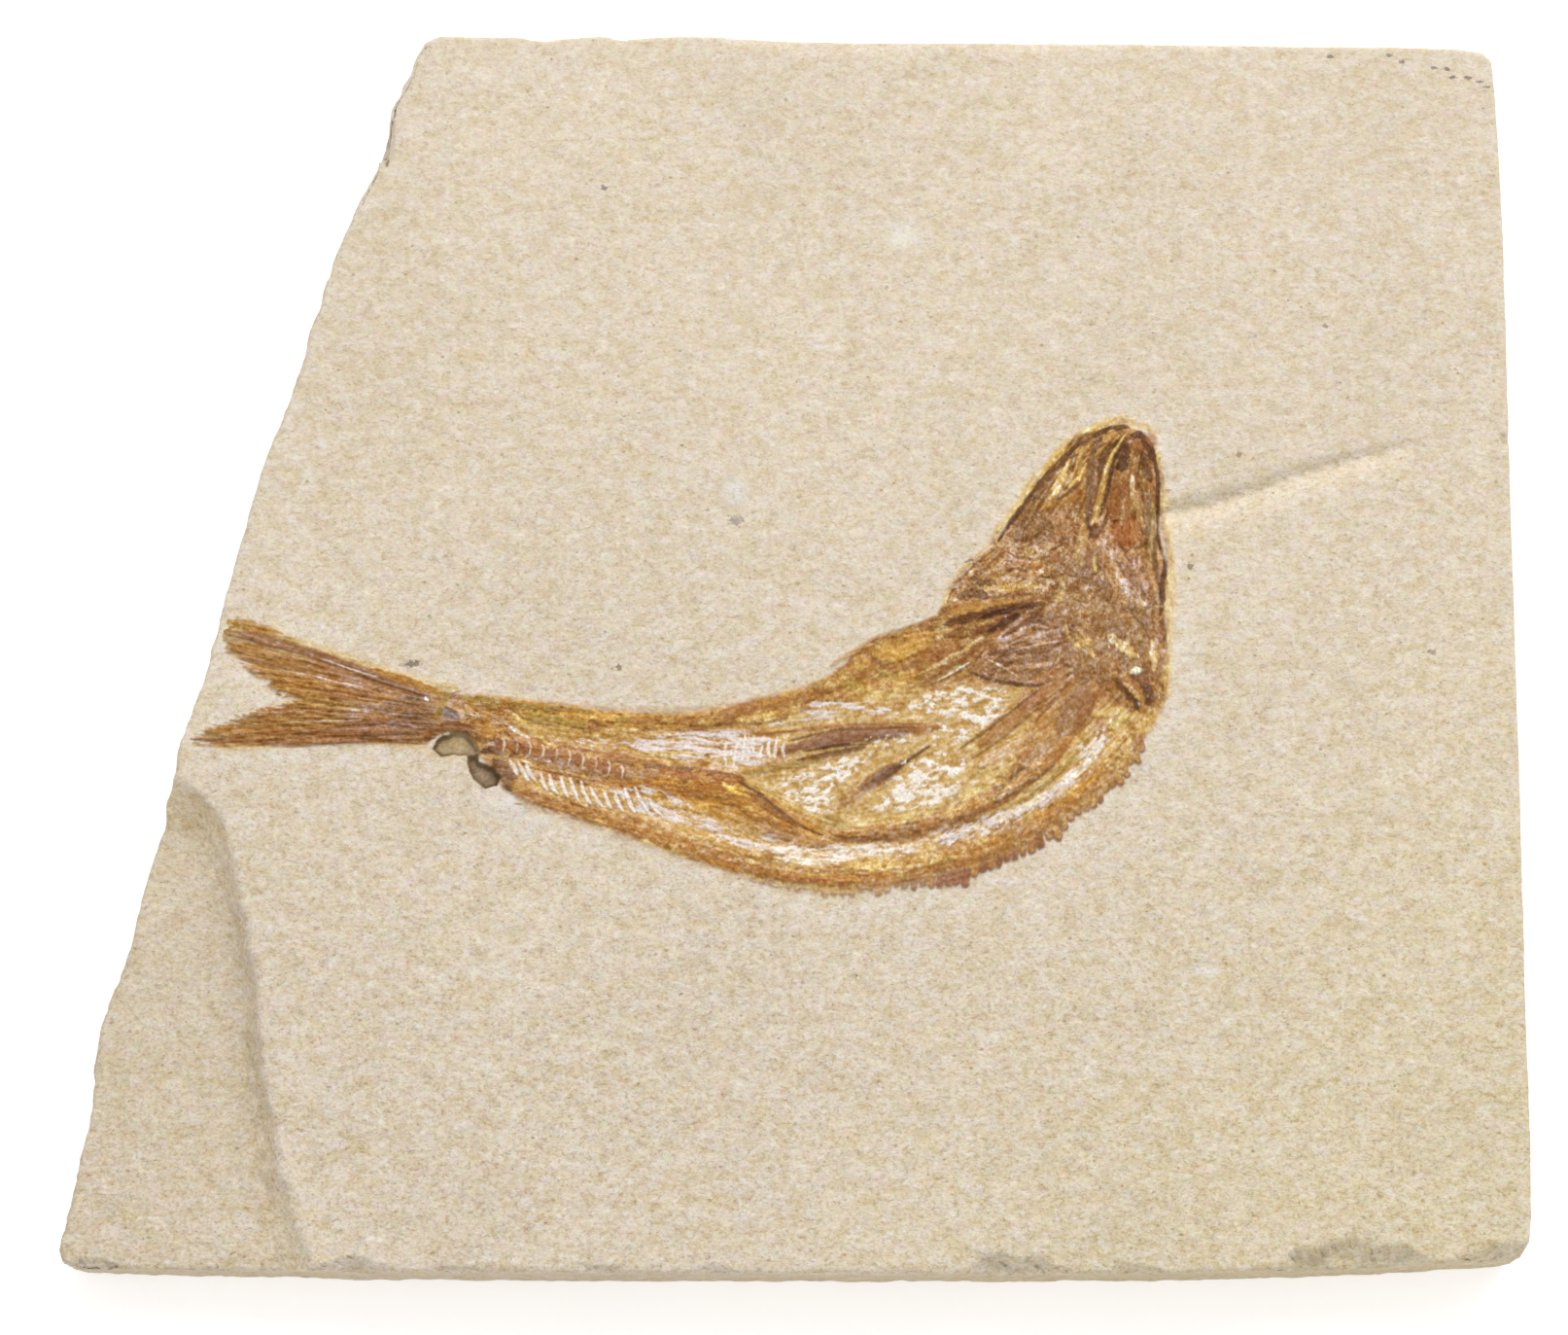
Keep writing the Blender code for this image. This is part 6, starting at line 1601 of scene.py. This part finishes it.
def stoneSurface(net):
    # place in millimetres, colour, roughness and height of the limestone
    place = net.stretch(net.add("ShaderNodeTexCoord", {}, {}, "Object"), 1000.0, 1000.0, 1000.0)
    flat = net.stretch(place, limestone["squeeze"], 1.0, 1.0)
    waves = {name: net.noise(flat, *row) for name, row in limestone["noises"].items()}
    waves["rosy"] = net.noise(net.stretch(place, 1.0, 1.3, 1.0), 0.45, 3.0, 0.6)
    patchy, middle, fine = waves["patchy"], waves["middle"], waves["fine"]
    tone = colour(*limestone["base"])
    for paint, share, name, low, high in limestone["casts"]:
        tone = net.mix(tone, colour(*paint), net.ramp(waves[name], low, high) * share)
    dots = net.add("ShaderNodeTexVoronoi", {}, {"Vector": flat, "Scale": 1.5}, "Distance")
    seldom = net.ramp(net.noise(place, 1.3, 2.0), 0.56, 0.64)
    speck = colour(*limestone["speck"])
    tone = net.mix(tone, speck, net.ramp(dots, 0.22, 0.08) * seldom * limestone["specks"])
    worn = net.ramp(net.noise(net.stretch(place, 0.4, 1.1, 1.0), 1.0, 4.0, 0.7), 0.66, 0.74)
    tone = net.mix(tone, colour(*limestone["scuff"]), worn * limestone["scuffs"])
    curl = net.ramp(net.maths("ABSOLUTE", waves["curly"] - 0.5), 0.012, 0.002)
    curl = curl * net.ramp(net.noise(place, 1.9, 2.0), 0.54, 0.64)
    tone = net.mix(tone, speck, curl * limestone["curls"])
    minerals = tuple((x, y, *limestone["mineral"]) for x, y in limestone["minerals"])
    for markX, markY, long, thin, paint, strength in limestone["marks"] + minerals:
        centre = (markX - slab["centre"][0], markY - slab["centre"][1], 0.0)
        toMark = net.add("ShaderNodeVectorMath", {"operation": "SUBTRACT"}, {0: place, 1: centre})
        toMark = net.stretch(toMark, 1.0 / long, 1.0 / thin, 0.0)
        reach = net.add("ShaderNodeVectorMath", {"operation": "LENGTH"}, {0: toMark}, 1)
        reach = reach + (fine - 0.5) * 3.0
        tone = net.mix(tone, colour(*paint), net.ramp(reach, 1.3, 0.6) * strength)
    x, y, _ = net.parts("ShaderNodeSeparateXYZ", place)
    front = net.ramp(y, 46.0, -46.0)
    back, more = limestone["fine"]
    small = 0.85 * (fine - 0.5) + 0.30 * (waves["sandy"] - 0.5)
    small = (small - 3.2 * small * small) * (back + more * front)
    back, more = limestone["coarse"]
    medium = 0.46 * (middle - 0.5)
    medium = (medium - 2.5 * medium * medium) * (back + more * front)
    large = (0.32 * (patchy - 0.5) + 0.16 * (waves["broad"] - 0.5)) * (back + more * front)
    hue = net.noise(net.stretch(place, 0.8, 1.1, 1.0), 1.3, 5.0, 0.75) - 0.5
    cast = net.noise(net.stretch(place, 1.0, 0.8, 1.0), 1.7, 5.0, 0.8) - 0.5
    value = 1.02 + 0.14 * (net.noise(place, 0.07, 3.0, 0.6) - 0.5) - limestone["frontShade"] * front
    red, green, blue = [value + small * a + medium * b + large * c for a, b, c in limestone["follow"]]
    hue = hue * (1.0 + 0.35 * front)
    red = red + 0.15 * hue - 0.10 * cast
    green = green + 0.28 * cast
    blue = blue - 0.38 * hue - 0.10 * cast - limestone["cornerOchre"] * net.ramp(x - y, 25.0, 85.0)
    tone = net.mix(tone, net.rgb(red, green, blue), 1.0, "MULTIPLY")
    tone = net.mix(tone, net.layer("tint", "Color"), 1.0, "MULTIPLY")
    low, high = limestone["roughness"]
    grain = net.noise(flat, 3.2, 4.0, 0.7)
    height = (grain - 0.5) * 1.1 + (patchy - 0.5) * 0.9 + (fine - 0.5) * 0.6
    return place, tone, low + (high - low) * middle, height


def finish(net, tone, rough, height, extra):
    bump = net.add("ShaderNodeBump", {}, {"Strength": 1.0, "Distance": mm, "Height": height})
    surface = net.add("ShaderNodeBsdfPrincipled", {},
                      {"Base Color": tone, "Roughness": rough, "Normal": bump, **extra})
    net.add("ShaderNodeOutputMaterial", {}, {"Surface": surface})
    return net.material


def limestoneFinish():
    net = Net("limestone")
    _, tone, rough, height = stoneSurface(net)
    return finish(net, tone, rough, height * limestone["grainHeight"],
                  {"Specular IOR Level": limestone["specular"]})


fossil = {
    "plates": 0.45, "seams": 0.40,     # how the broken plates differ, how dark their seams are
    "plateScale": 1.7,
    "fibreHeight": 0.03,
    "roughness": (0.30, 0.55),
    "coat": 0.10, "coatRoughness": 0.25,
    "specular": 0.2,
}


def fossilFinish():
    net = Net("fossilBone")
    place, stone, stoneRough, stoneHeight = stoneSurface(net)
    cover, broken = net.layer("cover"), net.layer("broken")
    along, across = net.layer("alongFish"), net.layer("acrossFish")
    body = net.add("ShaderNodeCombineXYZ", {}, {0: along * 0.9, 1: across * 5.0})
    fibre = net.noise(body, 1.6, 4.0, 0.7, 0.4)
    grain = net.noise(place, 5.0, 4.0, 0.7)
    warp = net.noise(place, 2.6, 2.0, 0.5) * 1.6
    plated = net.add("ShaderNodeCombineXYZ", {}, {0: along * 1.1 + warp, 1: across * 2.0 + warp})
    cells = {"Vector": plated, "Scale": fossil["plateScale"]}
    own = net.parts("ShaderNodeSeparateColor", net.add("ShaderNodeTexVoronoi", {}, cells, "Color"))[0]
    seam = net.add("ShaderNodeTexVoronoi", {"feature": "DISTANCE_TO_EDGE"}, cells, "Distance")
    shade = (0.27 + 0.42 * fibre + 1.04 * grain) * (1.0 + (own - 0.5) * broken * fossil["plates"])
    shade = shade * (1.0 - net.ramp(seam, 0.10, 0.0) * broken * fossil["seams"])
    light = net.rgb(*(net.maths("POWER", shade, power) for power in comb["follow"]))
    paint = net.mix(net.layer("paint", "Color"), light, 1.0, "MULTIPLY")
    red, green, blue = net.parts("ShaderNodeSeparateColor", paint)
    green = net.maths("MINIMUM", green, red * comb["greenest"])
    blue = net.maths("MINIMUM", blue, red * comb["bluest"])
    tone = net.mix(stone, net.rgb(red, green, blue), cover)
    low, high = fossil["roughness"]
    wet = cover * net.layer("gloss")
    rough = stoneRough + (low + (high - low) * grain - stoneRough) * wet
    height = stoneHeight * limestone["grainHeight"] * (1.0 - cover)
    height = height + ((fibre - 0.5) * 1.0 + (grain - 0.5) * 1.2) * fossil["fibreHeight"] * cover
    return finish(net, tone, rough, height, {
        "Coat Weight": wet * fossil["coat"], "Coat Roughness": fossil["coatRoughness"],
        "Specular IOR Level": fossil["specular"]})


stone = makeSlab(limestoneFinish())
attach(stone, "root")
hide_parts("limestone_slab")
boneMaterial = fossilFinish()
for name, (start, end) in patchParts.items():
    part = makePatchPart(name, start, end, boneMaterial)
    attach(part, "root")
    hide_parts("fossil_fish")

# floor, light and camera
studio = {
    "floor": (0.93, 0.93, 0.93),
    "glow": 0.35,          # the floor is a light table
    "sky": 0.80,
    "key": {"power": 6.8, "size": 0.7, "at": (0.22, 0.62, 0.72)},
    "camera": {"at": (-0.66, -74.98, 424.59), "target": (-0.66, -1.70, 9.0), "lens": 140.0},
}


def makeStudio():
    scene = bpy.context.scene
    scene.view_settings.view_transform = "Standard"
    mesh = bpy.data.meshes.new("floor")
    mesh.from_pydata([(-3, -3, 0), (3, -3, 0), (3, 3, 0), (-3, 3, 0)], [], [(0, 1, 2, 3)])
    floor = bpy.data.objects.new("floor", mesh)
    scene.collection.objects.link(floor)
    net = Net("paper")
    mesh.materials.append(finish(net, studio["floor"] + (1.0,), 0.9, 0.0, {
        "Specular IOR Level": 0.2, "Emission Color": (1.0, 1.0, 1.0, 1.0),
        "Emission Strength": studio["glow"]}))
    world = bpy.data.worlds.new("studio")
    world.use_nodes = True
    sky = world.node_tree.nodes["Background"]
    sky.inputs["Color"].default_value = (1.0, 1.0, 1.0, 1.0)
    sky.inputs["Strength"].default_value = studio["sky"]
    scene.world = world
    key = studio["key"]
    lamp = bpy.data.lights.new("key", "AREA")
    lamp.energy, lamp.size = key["power"], key["size"]
    light = bpy.data.objects.new("key", lamp)
    light.location = key["at"]
    light.rotation_euler = (-Vector(key["at"])).to_track_quat("-Z", "Y").to_euler()
    scene.collection.objects.link(light)
    view = studio["camera"]
    lens = bpy.data.cameras.new("camera")
    lens.lens, lens.sensor_width, lens.clip_start = view["lens"], 36.0, 0.01
    camera = bpy.data.objects.new("camera", lens)
    at, target = Vector(view["at"]) * mm, Vector(view["target"]) * mm
    camera.location = at
    camera.rotation_euler = (target - at).to_track_quat("-Z", "Y").to_euler()
    scene.collection.objects.link(camera)
    scene.camera = camera


makeStudio()
print("studio ready")
